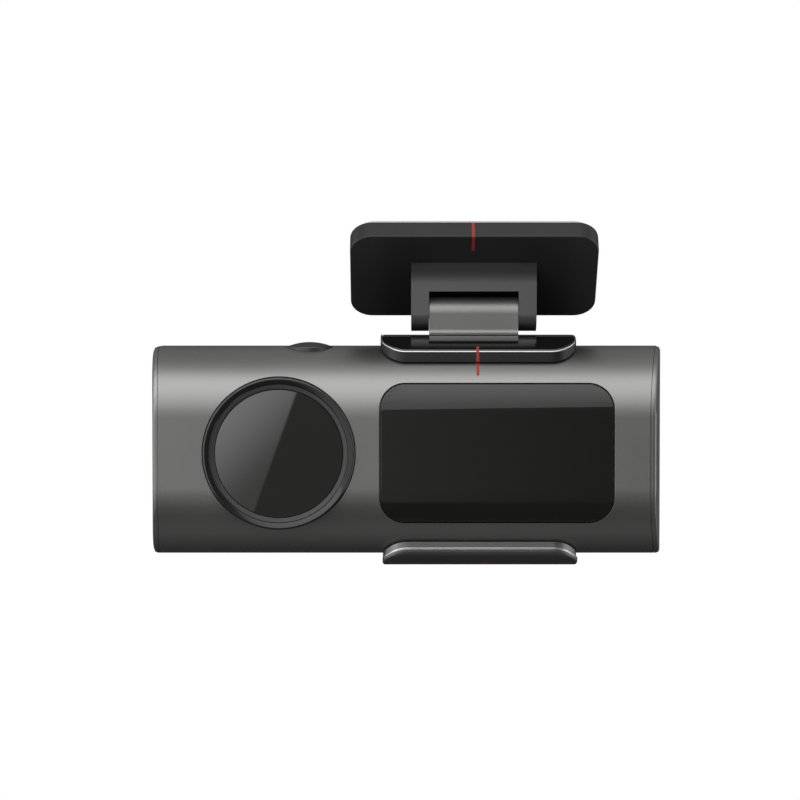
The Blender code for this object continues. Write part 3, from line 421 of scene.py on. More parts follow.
    @staticmethod
    def soften(obj: bpy.types.Object, width: float, segments: int = 2, angle: float = SHARP) -> None:
        """Rounds every sharp edge.

        Args:
            obj: the piece.
            width: the bevel's width.
            segments: how many faces across it.
            angle: the least angle of an edge that is rounded, in degrees.
        """
        Bench.only(obj)
        modifier = obj.modifiers.new("soften", "BEVEL")
        modifier.width = width
        modifier.segments = segments
        modifier.limit_method = "ANGLE"
        modifier.angle_limit = math.radians(angle)
        modifier.use_clamp_overlap = True
        modifier.harden_normals = False
        bpy.ops.object.modifier_apply(modifier=modifier.name)

    @staticmethod
    def tidy(obj: bpy.types.Object) -> None:
        """Merges the slivers that cutting leaves, so that a bevel can run past them.

        Args:
            obj: the piece.
        """
        with Bench.editing(obj):
            bpy.ops.mesh.select_all(action="SELECT")
            bpy.ops.mesh.remove_doubles(threshold=SLIVER)

    @staticmethod
    def score(obj: bpy.types.Object, axis: Axis, *places: float) -> None:
        """Cuts faces along planes, so that the long ones between them have four plain corners.

        Args:
            obj: the piece.
            axis: the axis that the planes stand across.
            places: where they stand along it.
        """
        for place in places:
            with Bench.editing(obj):
                bpy.ops.mesh.select_all(action="SELECT")
                bpy.ops.mesh.bisect(plane_co=axis.point(0, 0, place), plane_no=axis.point(0, 0, 1))

    @staticmethod
    def coat(obj: bpy.types.Object, *finishes: "Finish") -> None:
        """Gives a piece its finishes.

        Args:
            obj: the piece.
            finishes: the finish all over, and then one for a bevel to ask for.
        """
        for finish in finishes:
            obj.data.materials.append(Finishes.get(finish))

    @staticmethod
    def bevel_where(
        obj: bpy.types.Object,
        rule: Callable[[bmesh.types.BMEdge], bool],
        width: float,
        segments: int,
        finish: int = -1,
    ) -> None:
        """Bevels the edges that a rule picks.

        Args:
            obj: the piece.
            rule: picks the edges.
            width: the bevel's width.
            segments: how many faces across it.
            finish: the number of the bevel's own finish, or -1 for its neighbours'.
        """
        with Bench.editing(obj):
            bpy.ops.mesh.select_mode(type="EDGE")
            bpy.ops.mesh.select_all(action="DESELECT")
            mesh = bmesh.from_edit_mesh(obj.data)
            for edge in mesh.edges:
                edge.select_set(rule(edge))
            bmesh.update_edit_mesh(obj.data)
            bpy.ops.mesh.bevel(offset=width, segments=segments, affect="EDGES", material=finish)

    @staticmethod
    def tilt(obj: bpy.types.Object, turn_x: float) -> None:
        """Tilts a piece about the frame's X axis, in its mesh.

        Args:
            obj: the piece.
            turn_x: the turn, in radians.
        """
        obj.rotation_euler.x = turn_x
        Bench.only(obj)
        bpy.ops.object.transform_apply(location=True, rotation=True, scale=True)

    @staticmethod
    def smooth(obj: bpy.types.Object) -> None:
        """Smooth shading that keeps wide faces flat beside narrow edges.

        Args:
            obj: the piece.
        """
        Bench.only(obj)
        bpy.ops.object.shade_smooth_by_angle(angle=math.radians(SMOOTHED))
        modifier = obj.modifiers.new("weigh", "WEIGHTED_NORMAL")
        modifier.keep_sharp = True
        bpy.ops.object.modifier_apply(modifier=modifier.name)


# ---------------------------------------------------------------- shader graph


class Wire:
    """A shader socket that can be used in expressions."""

    def __init__(self, graph: "Graph", socket: bpy.types.NodeSocket) -> None:
        """Wraps an output socket of a graph."""
        self.graph = graph
        self.socket = socket

    def math(self, operation: str, *others: "Wire | float") -> "Wire":
        """One Math node on this value and others."""
        values = {number: value for number, value in enumerate((self, *others))}
        return self.graph.node("ShaderNodeMath", {"operation": operation}, values)

    def __add__(self, other: "Wire | float") -> "Wire":
        """This value and another, added."""
        return self.math("ADD", other)

    __radd__ = __add__

    def __mul__(self, other: "Wire | float") -> "Wire":
        """This value times another."""
        return self.math("MULTIPLY", other)

    __rmul__ = __mul__

    def __sub__(self, other: "Wire | float") -> "Wire":
        """This value less another."""
        return self.math("SUBTRACT", other)

    def __rsub__(self, other: "Wire | float") -> "Wire":
        """Another value less this one."""
        return (self * -1.0) + other

    def __abs__(self) -> "Wire":
        """This value without its sign."""
        return self.math("ABSOLUTE")

    def ramp(self, start: float, end: float) -> "Wire":
        """A smooth step on this value.

        Args:
            start: where it is 0.
            end: where it is 1, which may be the lower of the two.

        Returns:
            The step, from 0 to 1.
        """
        settings = {"interpolation_type": "SMOOTHSTEP"}
        inputs = {"Value": self, "From Min": min(start, end), "From Max": max(start, end)}
        part = self.graph.node("ShaderNodeMapRange", settings, inputs)
        return part if start < end else 1.0 - part


class Graph:
    """A node tree being built, with one way to add any node."""

    def __init__(self, tree: bpy.types.NodeTree) -> None:
        """Starts an empty tree."""
        self.tree = tree
        tree.nodes.clear()

    def node(self, kind: str, settings: dict | None = None, inputs: dict | None = None) -> Wire:
        """Adds a node.

        Args:
            kind: the node's type.
            settings: attributes, set before the sockets are used.
            inputs: socket name or number to a value or a Wire.

        Returns:
            Its first enabled output.
        """
        made = self.tree.nodes.new(kind)
        for name, value in (settings or {}).items():
            setattr(made, name, value)
        for key, value in (inputs or {}).items():
            self.feed(made, key, value)
        shown = [socket for socket in made.outputs if socket.enabled]
        return Wire(self, shown[0] if shown else None)

    def feed(self, node: bpy.types.Node, key: str | int, value: "Wire | float | tuple") -> None:
        """Links a Wire to a socket, or sets the socket's value.

        Args:
            node: the node.
            key: the socket's name or number.
            value: the Wire, or the value.
        """
        if isinstance(key, int):
            socket = node.inputs[key]
        else:
            socket = next(each for each in node.inputs if each.enabled and each.name == key)
        if isinstance(value, Wire):
            self.tree.links.new(value.socket, socket)
        else:
            socket.default_value = value

    def output(self, wire: Wire, name: str) -> Wire:
        """Another output of the node behind a Wire."""
        return Wire(self, wire.socket.node.outputs[name])

    def place(self) -> tuple[Wire, Wire, Wire]:
        """The shaded point's X, Y and Z in the frame, in metres."""
        point = self.output(self.node("ShaderNodeTexCoord"), "Object")
        return self.split(point)

    def split(self, vector: Wire) -> tuple[Wire, Wire, Wire]:
        """The X, Y and Z of a vector."""
        parts = self.node("ShaderNodeSeparateXYZ", None, {"Vector": vector})
        return self.output(parts, "X"), self.output(parts, "Y"), self.output(parts, "Z")

    def noise(self, per_metre: float, detail: float = 2.0, stretch: Point3 = (1, 1, 1)) -> Wire:
        """Noise on the frame's own coordinates.

        Args:
            per_metre: how many waves in a metre.
            detail: how many finer layers it has.
            stretch: how much denser it is along X, Y and Z.

        Returns:
            The noise, about 0 to 1.
        """
        point = self.output(self.node("ShaderNodeTexCoord"), "Object")
        mapped = self.node("ShaderNodeMapping", None, {"Vector": point, "Scale": stretch})
        inputs = {"Vector": mapped, "Scale": per_metre, "Detail": detail}
        return self.node("ShaderNodeTexNoise", None, inputs)

    def blend(self, mask: Wire, low: "Wire | tuple", high: "Wire | tuple") -> Wire:
        """A colour between two others."""
        return self.node("ShaderNodeMix", {"data_type": "RGBA"}, {"Factor": mask, "A": low, "B": high})


Mask = Callable[[Graph], Wire]


def colour(value: float, tint: Point3 = (1, 1, 1)) -> Rgba:
    """A grey with a tint, as a shader colour."""
    return (value * tint[0], value * tint[1], value * tint[2], 1.0)


@dataclass(frozen=True)
class Paint:
    """A stripe painted on a finish."""

    where: Mask
    tone: Rgba = (0.32, 0.018, 0.012, 1.0)
    roughness: float = 0.6


@dataclass(frozen=True)
class Finish:
    """A solid surface: its tone, gloss and grain.

    Grain is the size of the finest structure in metres; cloud is the size of its slow variation.
    """

    name: str
    slot: str
    tone: Rgba
    roughness: float
    metallic: float = 0.0
    grain: float = 0.12 * MM
    grain_contrast: float = 0.06
    bump: float = 0.04
    bump_depth: float = 0.01 * MM
    cloud: float = 14.0 * MM
    rough_spread: float = 0.04
    coat: float = 0.0
    coat_roughness: float = 0.03
    specular: float = 0.5
    stretch: Point3 = (1, 1, 1)
    paint: Paint | None = None

    def build(self) -> bpy.types.Material:
        """Makes the material.

        Returns:
            A new node material.
        """
        material = bpy.data.materials.new(self.name)
        material.use_nodes = True
        graph = Graph(material.node_tree)
        fine = graph.noise(1 / self.grain, 3.0, self.stretch)
        slow = graph.noise(1 / self.cloud, 2.0)
        lighter = colour(1 + self.grain_contrast)
        darker = colour(1 - self.grain_contrast)
        low = tuple(min(1.0, self.tone[i] * darker[i]) for i in range(3)) + (1.0,)
        high = tuple(min(1.0, self.tone[i] * lighter[i]) for i in range(3)) + (1.0,)
        mottled = fine * 0.7 + slow * 0.3
        base = graph.blend(mottled.ramp(0.3, 0.7), low, high)
        spread = (slow - 0.5) * (2 * self.rough_spread) + (fine - 0.5) * self.rough_spread
        rough = self.roughness + spread
        metal = None
        if self.paint:
            mask = self.paint.where(graph)
            base = graph.blend(mask, base, self.paint.tone)
            rough = rough * (1.0 - mask) + mask * self.paint.roughness
            metal = (1.0 - mask) * self.metallic
        relief = {"Height": fine, "Strength": self.bump, "Distance": self.bump_depth}
        normal = graph.node("ShaderNodeBump", None, relief)
        inputs = {
            "Base Color": base,
            "Roughness": rough,
            "Metallic": metal if metal else self.metallic,
            "Normal": normal,
            "Coat Weight": self.coat,
            "Coat Roughness": self.coat_roughness,
            "Specular IOR Level": self.specular,
        }
        shader = graph.node("ShaderNodeBsdfPrincipled", None, inputs)
        graph.node("ShaderNodeOutputMaterial", None, {"Surface": shader})
        return material


class Finishes:
    """The finishes in use, each built once."""

    made: dict[str, bpy.types.Material] = {}

    @classmethod
    def get(cls, finish: Finish) -> bpy.types.Material:
        """The material of a finish.

        Args:
            finish: the finish.

        Returns:
            Its material, built on the first call.
        """
        if finish.name not in cls.made:
            cls.made[finish.name] = finish.build()
        return cls.made[finish.name]


GUNMETAL = Finish("satin_gunmetal", "gunmetal", colour(0.24, (1.0, 1.0, 0.985)), 0.37, 0.9)
DARK_METAL = Finish("dark_satin_metal", "dark_metal", colour(0.075), 0.42, 0.85)
PIANO_BLACK = Finish(
    "piano_black",
    "black_gloss",
    colour(0.006),
    0.12,
    grain_contrast=0.2,
    bump=0.01,
    rough_spread=0.02,
    coat=0.6,
)
RING_BLACK = Finish("ring_black", "black_gloss", colour(0.008), 0.14, 0.1, rough_spread=0.02, coat=0.5)
INNER_RING = Finish("matt_inner_ring", "dark_metal", colour(0.09), 0.42, 0.9)
SATIN_BLACK = Finish("satin_black_plastic", "black_plastic", colour(0.012), 0.42, grain=0.25 * MM, bump=0.12)
MATT_BLACK = Finish("matt_black_plastic", "black_plastic", colour(0.01), 0.65, grain=0.2 * MM, bump=0.15)
GLASS_BLACK = Finish(
    "smoked_glass",
    "smoked_glass",
    colour(0.009, (1.0, 1.02, 0.92)),
    0.03,
    grain_contrast=0.1,
    bump=0.0,
    rough_spread=0.005,
)
FOAM = Finish(
    "foam_tape",
    "adhesive",
    colour(0.52, (1.0, 0.97, 0.94)),
    0.75,
    grain=0.35 * MM,
    bump=0.35,
    bump_depth=0.05 * MM,
)
STEEL = Finish("plain_steel", "steel", colour(0.5), 0.32, 1.0, grain=0.1 * MM, stretch=(1, 1, 12))
BOARD = Finish("solder_mask", "board_green", colour(0.1, (0.15, 1.0, 0.5)), 0.4, grain=0.5 * MM, coat=0.3)
RIBBON = Finish("amber_film", "ribbon_amber", (0.4, 0.18, 0.04, 1.0), 0.35, grain=0.4 * MM, coat=0.3)
ALUMINIUM = Finish(
    "plain_aluminium", "aluminium", colour(0.6), 0.38, 1.0, grain=0.15 * MM, stretch=(12, 1, 1)
)
LENS = Finish(
    "coated_lens",
    "lens_glass",
    colour(0.02, (0.6, 0.7, 1.4)),
    0.02,
    bump=0.0,
    rough_spread=0.0,
    coat=1.0,
)

SLOT_ROUND = 2.02  # a slot's width over its corner radius; at 2 its ends would be half circles
INLET_ROUND = 2.05  # the same for the inlet's hole
SCREEN_THICKNESS = 1.2 * MM
BUTTON_RADIUS = 5.1 * MM
ROAD_RING_WIDTH = 1.8 * MM  # the road camera's housing beyond its cone
PLAIN_MARGIN = 0.6 * MM  # how far past a rounded corner a long face is cut


def stripe(x: float, width: float, low_z: float, high_z: float, back_y: float = FAR) -> Mask:
    """A mask for a painted stripe.

    Args:
        x: the stripe's middle.
        width: its width.
        low_z: its lower end.
        high_z: its upper end.
        back_y: how far back it goes.

    Returns:
        A function of a graph that gives the mask.
    """

    def mask(graph: Graph) -> Wire:
        """Is 1 on the stripe, with soft edges.

        Args:
            graph: the graph that the mask's nodes go in.

        Returns:
            The mask.
        """
        place_x, place_y, place_z = graph.place()
        soft = 0.06 * MM
        across = abs(place_x - x).ramp(width / 2 + soft, width / 2 - soft)
        up = place_z.ramp(low_z - soft, low_z + soft) * place_z.ramp(high_z + soft, high_z - soft)
        return across * up * place_y.ramp(back_y + soft, back_y - soft)

    return mask


PAD_MIDDLE = Span.of("upper_boss").centre.x
MARK = Paint(stripe(PAD_MIDDLE - 0.25 * MM, 0.6 * MM, -25.2 * MM, 0.0, -15.6 * MM))
PLATE_MARK = Paint(stripe(-0.3 * MM, 0.6 * MM, 1.6 * MM, FAR))
LOWER_MARK = Paint(stripe(PAD_MIDDLE + 1.6 * MM, 1.0 * MM, -FAR, -65.7 * MM, -7.5 * MM))
MARKED_GUNMETAL = replace(GUNMETAL, name="marked_gunmetal", paint=MARK)
MARKED_PIANO = replace(PIANO_BLACK, name="marked_piano_black", paint=MARK)
MARKED_BLACK = replace(SATIN_BLACK, name="marked_black_plastic", paint=PLATE_MARK)
LOWER_COVER = replace(DARK_METAL, name="lower_cover_metal", tone=colour(0.14), paint=LOWER_MARK)
ARM_METAL = replace(GUNMETAL, name="arm_metal", roughness=0.45, grain_contrast=0.16, bump=0.12)
BRACKET_METAL = replace(DARK_METAL, name="bracket_metal", tone=colour(0.15), roughness=0.36)
PAD_METAL = replace(GUNMETAL, name="pad_metal", tone=colour(0.042), paint=MARK)
LOWER_WALL = replace(GUNMETAL, name="lower_wall_metal", tone=colour(0.2))
# painted highlight: a lighter tone for the pads' rim bevel and lip, added to the light that the bevels catch
PAINTED_HIGHLIGHT_EDGE = replace(GUNMETAL, name="painted_highlight_edge", tone=colour(0.55), roughness=0.3, paint=MARK)
BUTTON_METAL = replace(DARK_METAL, name="button_metal")
WINDOW_GLASS = replace(GLASS_BLACK, name="window_smoked_glass", roughness=0.01, rough_spread=0.002)
SCREEN_GLASS = replace(GLASS_BLACK, name="screen_smoked_glass")
FLOOR = Finish("pale_floor", "adhesive", colour(0.85), 0.6, grain=1.5 * MM, grain_contrast=0.01)

INNER_NODES: dict[Finish, tuple[str, ...]] = {
    MATT_BLACK: (
        "cabin_lens_barrel", "road_lens_barrel", "display_panel", "speaker", "button_switch", "memory_card"
    ),
    STEEL: (
        "friction_washer_left", "friction_washer_right", "display_tray", "processor_shield", "card_holder",
        "microphone", "arm_screw_left", "arm_screw_right", "bracket_screw_left", "bracket_screw_right",
    ),
    LENS: ("cabin_lens", "night_lamp_1", "night_lamp_2", "night_lamp_3", "night_lamp_4"),
    BOARD: ("main_board", "cabin_image_board", "road_image_board", "night_lamp_board"),
    RIBBON: ("display_ribbon",),
    ALUMINIUM: ("heat_spreader",),
    DARK_METAL: ("supercapacitor_upper", "supercapacitor_lower"),
}


def settle(
    obj: bpy.types.Object, finish: Finish, body: str, *nodes: str, skin: "Casing | None" = None
) -> None:
    """Dresses a finished piece, and says what it rides on and stands for.

    Args:
        obj: the piece.
        finish: its finish.
        body: the body that it moves with.
        nodes: the nodes of the frame that it stands for.
        skin: the casing, for a piece whose faces follow the casing's curves.
    """
    if not obj.data.materials:
        Bench.coat(obj, finish)
    Bench.smooth(obj)
    if skin:
        skin.true_normals(obj)
    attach(obj, body)
    if nodes:
        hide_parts(*nodes)
    LOG.info("%s: %d faces, rides on %s", obj.name, len(obj.data.polygons), body)


# ---------------------------------------------------------------- casing


@dataclass
class Casing:
    """The two shells and the end caps: one rounded section with ends that bulge in plan."""

    corner_radius: float = 15.0 * MM
    wall: float = 2.2 * MM
    dome_radius: float = 150.0 * MM
    left_crown: float = -5.0 * MM
    right_crown: float = 8.0 * MM
    cap_rim: float = 1.1 * MM
    cap_chamfer: float = 0.75 * MM
    hole_edge: float = 0.14 * MM
    corner_steps: int = 44
    dome_sides: int = 720
    ends: Span = field(default_factory=lambda: Span.of("left_end_cap", "right_end_cap"))

    @property
    def centre(self) -> Vector:
        """The middle of the section."""
        return self.ends.centre

    def block(self, offset: float, name: str = "block", steps: int | None = None) -> bpy.types.Object:
        """The section grown by an offset, as a box with its long edges rounded.

        Args:
            offset: how far outside the skin.
            name: the object's name.
            steps: how many faces across a corner, if not the casing's own.

        Returns:
            The solid, longer than the casing.
        """
        half = self.ends.size / 2 + Vector((FAR, offset, offset))
        solid = Bench.box(name, self.centre - half, self.centre + half)

        def along(edge: bmesh.types.BMEdge) -> bool:
            """Picks the four long edges."""
            first, second = edge.verts
            return abs(first.co.x - second.co.x) > FAR

        Bench.bevel_where(solid, along, self.corner_radius + offset, steps or self.corner_steps)
        return solid

    def drum_centre(self, side: int, inset: float) -> Vector:
        """The upright axis that one end's face bulges round.

        Args:
            side: -1 for the left end, 1 for the right.
            inset: how far inside the outer face.

        Returns:
            A point on the axis.
        """
        crown_x = self.ends.high.x if side > 0 else self.ends.low.x
        crown_y = self.centre.y + (self.right_crown if side > 0 else self.left_crown)
        return Vector((crown_x - side * (self.dome_radius + inset), crown_y, 0))

    def dome(self, side: int, inset: float) -> bpy.types.Object:
        """What is kept by one bulging end: a wide upright drum.

        Args:
            side: -1 for the left end, 1 for the right.
            inset: how far inside the outer face.

        Returns:
            The drum.
        """
        at = self.drum_centre(side, inset)
        return Bench.drum("dome", at, self.dome_radius, (-FAR, FAR), Axis.Z, self.dome_sides)

    def body(self, offset: float, inset: float, name: str) -> bpy.types.Object:
        """The section between both bulging ends.

        Args:
            offset: how far outside the skin.
            inset: how far inside the end faces.
            name: the object's name.

        Returns:
            The solid.
        """
        solid = self.block(offset, name)
        for side in (-1, 1):
            Bench.combine(solid, self.dome(side, inset), Join.COMMON)
        return solid

    def seam_y(self) -> float:
        """Where the two shells meet."""
        return (Span.of("driver_side_shell").high.y + Span.of("road_side_shell").low.y) / 2

    def from_core(self, spot: Vector) -> Vector:
        """The way out of the section's flat core to a point.

        Args:
            spot: the point.

        Returns:
            A vector across the casing. On the skin it is a corner radius long.
        """
        core_y = self.ends.size.y / 2 - self.corner_radius
        core_z = self.ends.size.z / 2 - self.corner_radius
        across = spot - self.centre
        inner_y = max(-core_y, min(core_y, across.y))
        inner_z = max(-core_z, min(core_z, across.z))
        return Vector((0, across.y - inner_y, across.z - inner_z))

    def from_left_drum(self, spot: Vector) -> Vector:
        """The way out from the upright axis of the left end's bulge to a point."""
        out = spot - self.drum_centre(-1, 0)
        return Vector((out.x, out.y, 0))

    def from_right_drum(self, spot: Vector) -> Vector:
        """The way out from the upright axis of the right end's bulge to a point."""
        out = spot - self.drum_centre(1, 0)
        return Vector((out.x, out.y, 0))

    def rim_at(
        self, offset: float, sharp: float = SHARP, slack: float = 0.02 * MM
    ) -> Callable[[bmesh.types.BMEdge], bool]:
        """A rule that picks the sharp edges of what lies on the skin grown by an offset.

        Args:
            offset: how far outside the skin.
            sharp: the least angle between the two faces, in degrees.
            slack: how far inside that surface a point may lie.

        Returns:
            The rule.
        """
        reach = self.corner_radius + offset - slack

        def rule(edge: bmesh.types.BMEdge) -> bool:
            """Picks sharp edges with both ends on that surface."""
            on_skin = all(self.from_core(vert.co).length > reach for vert in edge.verts)
            return on_skin and edge.calc_face_angle(0) > math.radians(sharp)

        return rule

    def curve_under(self, mesh: bpy.types.Mesh, face: bpy.types.MeshPolygon) -> list[Vector]:
        """The true curve's normals at a face's corners.

        Args:
            mesh: the piece's mesh.
            face: one of its faces.

        Returns:
            A normal for each corner, or an empty list for a face that follows neither the rounded
            section nor a bulging end.
        """
        near = 0.08 * MM
        parallel = 0.995
        for away in (self.from_core, self.from_left_drum, self.from_right_drum):
            ways = [away(mesh.vertices[number].co) for number in face.vertices]
            reach = [way.length for way in ways]
            if min(reach) < self.wall or max(reach) - min(reach) > near:
                continue
            out = away(face.center).normalized().dot(face.normal)
            if abs(out) > parallel:
                return [way.normalized() * math.copysign(1, out) for way in ways]
        return []

    def true_normals(self, obj: bpy.types.Object) -> None:
        """Gives the faces that follow the casing's curves, and the bevels on them, true normals.

        Args:
            obj: the piece.
        """
        mesh = obj.data
        normals = [Vector(corner.vector) for corner in mesh.corner_normals]
        known: dict[int, list[Vector]] = {}
        others = []
        for face in mesh.polygons:
            ways = self.curve_under(mesh, face)
            if not ways:
                others.append(face)
            for corner, number, way in zip(face.loop_indices, face.vertices, ways):
                normals[corner] = way
                known.setdefault(number, []).append(way)
        smooth = math.cos(math.radians(SHARED))
        for face in others:
            for corner, number in zip(face.loop_indices, face.vertices):
                for way in known.get(number, []):
                    if way.dot(face.normal) > smooth:
                        normals[corner] = way
        held = mesh.attributes.get("custom_normal")
        if held:
            mesh.attributes.remove(held)
        layer = mesh.attributes.new("custom_normal", "FLOAT_VECTOR", "CORNER")
        for corner, normal in enumerate(normals):
            layer.data[corner].vector = normal


@dataclass
class Shells:
    """Both halves of the casing with their openings, and the two end caps."""

    casing: Casing
    screen_ledge: float = 1.5 * MM
    screen_fit: float = 0.1 * MM
    window_fit: float = 0.12 * MM
    pocket_radius: float = 5.5 * MM
    opening_radius: float = 3.9 * MM
    button_fit: float = 0.12 * MM
    plug: float = 1.6 * MM
    recess_radius: float = 1.9 * MM
    recess_depth: float = 1.6 * MM
    lead_in: float = 0.4 * MM
    lead_depth: float = 0.35 * MM

    def end_cap(self, name: str, side: int) -> bpy.types.Object:
        """One cap: a chamfered rim flush with the casing and a plug inside it.

        Args:
            name: the object's name.
            side: -1 for the left end, 1 for the right.

        Returns:
            The cap, with no holes yet.
        """
        casing = self.casing
        cap = casing.block(0, name)
        Bench.combine(cap, casing.dome(side, 0), Join.COMMON)
        Bench.combine(cap, casing.dome(side, casing.cap_rim), Join.CUT)
        axis_x = casing.drum_centre(side, 0).x
        axis_y = casing.drum_centre(side, 0).y

        def on_rim(edge: bmesh.types.BMEdge) -> bool:
            """Picks the sharp outline of the outer face."""
            reach = [math.hypot(v.co.x - axis_x, v.co.y - axis_y) for v in edge.verts]
            outer = min(reach) > casing.dome_radius - FIT
            return outer and edge.calc_face_angle(0) > math.radians(SHARP)

        Bench.tidy(cap)
        core_z = casing.ends.size.z / 2 - casing.corner_radius
        Bench.score(cap, Axis.Z, casing.centre.z - core_z, casing.centre.z + core_z)
        Bench.bevel_where(cap, on_rim, casing.cap_chamfer, 2)
        plug = casing.block(-casing.wall - FIT, "plug")
        Bench.combine(plug, casing.dome(side, casing.cap_rim - FIT), Join.COMMON)
        Bench.combine(plug, casing.dome(side, casing.cap_rim + self.plug), Join.CUT)
        Bench.combine(cap, plug, Join.ADD)
        return cap

    def build(self) -> None:
        """Makes the two shells and the two caps."""
        casing = self.casing
        for name, side in (("left_end_cap", -1), ("right_end_cap", 1)):
            cap = self.end_cap(f"{name}_looks", side)
            for hole in self.cap_holes(side):
                Bench.combine(cap, hole, Join.CUT)
            settle(cap, GUNMETAL, "camera", name, skin=casing)
        tube = casing.body(0, casing.cap_rim + FIT, "tube")
        Bench.combine(tube, casing.block(-casing.wall), Join.CUT)
        for name, sign in (("driver_side_shell", -1), ("road_side_shell", 1)):
            shell = Bench.copy(tube, f"{name}_looks")
            split = casing.seam_y() + sign * FIT
            low = Vector((-FAR, split if sign < 0 else -FAR, -FAR))
            high = Vector((FAR, FAR if sign < 0 else split, FAR))
            Bench.combine(shell, Bench.box("beyond", low, high), Join.CUT)
            for hole in self.driver_holes() if sign < 0 else self.road_holes():
                Bench.combine(shell, hole, Join.CUT)
            Bench.combine(shell, self.button_hole(), Join.CUT)
            Bench.score(shell, Axis.X, *self.beside_holes())
            Bench.bevel_where(shell, casing.rim_at(0, 60), casing.hole_edge, 2)
            finish = MARKED_GUNMETAL if sign < 0 else GUNMETAL
            settle(shell, finish, "camera", name, skin=casing)
        bpy.data.objects.remove(tube, do_unlink=True)

    def beside_holes(self) -> list[float]:
        """Places along the casing just outside the window and the screen."""
        room = 0.5 * MM
        places = []
        for node in ("window_ring", "screen_glass"):
            box = Span.of(node)
            places += [box.low.x - room, box.high.x + room]
        return places

    def cap_holes(self, side: int) -> list[bpy.types.Object]:
        """The inlet's hole in the left cap, or the card's in the right one, with its lead-in.

        Args:
            side: -1 for the left end, 1 for the right.

        Returns:
            The cutters.
        """
        node = "power_socket" if side < 0 else "memory_card"
        seat = Span.of(node)
        size = (seat.size.y + 3 * FIT, seat.size.z + 3 * FIT)
        radius = size[0] / INLET_ROUND if side < 0 else 2 * FIT
        span = tuple(sorted((self.casing.centre.x, side * FAR)))
        hole = Bench.pad("hole", seat.centre, size, radius, span, Axis.X)
        wider = (size[0] + 2 * self.lead_in, size[1] + 2 * self.lead_in)
        lead = Bench.pad("lead", seat.centre, wider, radius + self.lead_in, span, Axis.X)
        Bench.combine(lead, self.casing.dome(side, self.lead_depth), Join.CUT)
        return [hole, lead]

    def driver_holes(self) -> list[bpy.types.Object]:
        """The window's round hole, and the screen's pocket with the opening behind it."""
        window = Span.of("window_ring")
        front = (self.casing.ends.low.y - MM, self.casing.seam_y() - MM)
        radius = window.size.x / 2 + self.window_fit
        hole = Bench.drum("hole", window.centre, radius, front, Axis.Y)
        seat = Span.of("screen_glass")
        grow = 2 * self.screen_fit
        outside = (seat.size.x + grow, seat.size.z + grow)
        pocket = Bench.pad("pocket", seat.centre, outside, self.pocket_radius, front, Axis.Y)
        deep = SCREEN_THICKNESS + FIT
        Bench.combine(pocket, self.casing.block(-deep), Join.CUT)
        shrink = 2 * self.screen_ledge
        inside = (seat.size.x - shrink, seat.size.z - shrink)
        through = Bench.pad("through", seat.centre, inside, self.opening_radius, front, Axis.Y)
        return [hole, pocket, through]

    def road_holes(self) -> list[bpy.types.Object]:
        """The road lens's hole, the sound slots and the four screw recesses."""
        lens = Span.of("road_lens_cone")
        back = (self.casing.seam_y() + MM, self.casing.ends.high.y + MM)
        radius = lens.size.x / 2 + ROAD_RING_WIDTH + 2 * FIT
        holes = [Bench.drum("hole", lens.centre, radius, back, Axis.Y)]
        for number in range(1, 5):
            screw = Span.of(f"case_screw_{number}")
            deep = (screw.high.y - self.recess_depth, back[1])
            holes.append(Bench.drum("recess", screw.centre, self.recess_radius, deep, Axis.Y))
        holes += Slots().cutters(self.casing)
        return holes

    def button_hole(self) -> bpy.types.Object:
        """The round hole for the power button."""
        button = Span.of("power_button")
        span = (self.casing.centre.z, self.casing.ends.high.z + MM)
        return Bench.drum("hole", button.centre, BUTTON_RADIUS + self.button_fit, span, Axis.Z)


@dataclass
class Slots:
    """The sound slots under the loudspeaker."""

    count: int = 7
    width: float = 1.2 * MM
    length: float = 9.0 * MM
    pitch: float = 2.2 * MM

    def cutters(self, casing: Casing) -> list[bpy.types.Object]:
        """One cutter for each slot, through the lower wall and what is under it.

        Args:
            casing: the casing that the slots are in.

        Returns:
            The cutters.
        """
        middle = Span.of("lower_boss").centre
        span = (casing.ends.low.z - 5 * MM, casing.centre.z)
        made = []
        for number in range(self.count):
            x = middle.x + (number - (self.count - 1) / 2) * self.pitch
            at = Vector((x, middle.y, middle.z))
            size = (self.width, self.length)
            made.append(Bench.pad("slot", at, size, self.width / SLOT_ROUND, span, Axis.Z, 8))
        return made


# ---------------------------------------------------------------- raised pads


@dataclass
class RaisedPad:
    """A pad above or below the casing, cut out of surfaces that follow the casing's skin."""

    casing: Casing
    node: str
    side: int
    rise: float
    radius: float = 5.5 * MM
    steps: int = 9
    slack: float = 0.1 * MM
    slots: Slots | None = None

    def slab(self, name: str, grow: float, low: float, high: float) -> bpy.types.Object:
        """The pad's outline between two offsets of the casing's surface.

        Args:
            name: the object's name.
            grow: how far outside the pad's outline.
            low: the offset where it starts.
            high: the offset where it ends.

        Returns:
            The closed solid.
        """
        box = Span.of(self.node)
        size = (box.size.x + 2 * grow, box.size.y + 2 * grow)
        reach = self.casing.centre.z + self.side * FAR
        span = tuple(sorted((self.casing.centre.z, reach)))
        solid = Bench.pad(name, box.centre, size, self.radius + grow, span, Axis.Z, 20)
        Bench.combine(solid, self.casing.block(high, steps=self.steps), Join.COMMON)
        Bench.combine(solid, self.casing.block(low, steps=self.steps), Join.CUT)
        Bench.tidy(solid)
        plain = self.radius + grow + PLAIN_MARGIN
        Bench.score(solid, Axis.X, box.low.x - grow + plain, box.high.x + grow - plain)
        return solid

    def vent(self, *solids: bpy.types.Object) -> None:
        """Cuts the sound slots.

        Args:
            solids: the pieces that they go through.
        """
        for cutter in self.slots.cutters(self.casing) if self.slots else []:
            for solid in solids:
                Bench.combine(solid, cutter, Join.CUT, keep=True)
            bpy.data.objects.remove(cutter, do_unlink=True)


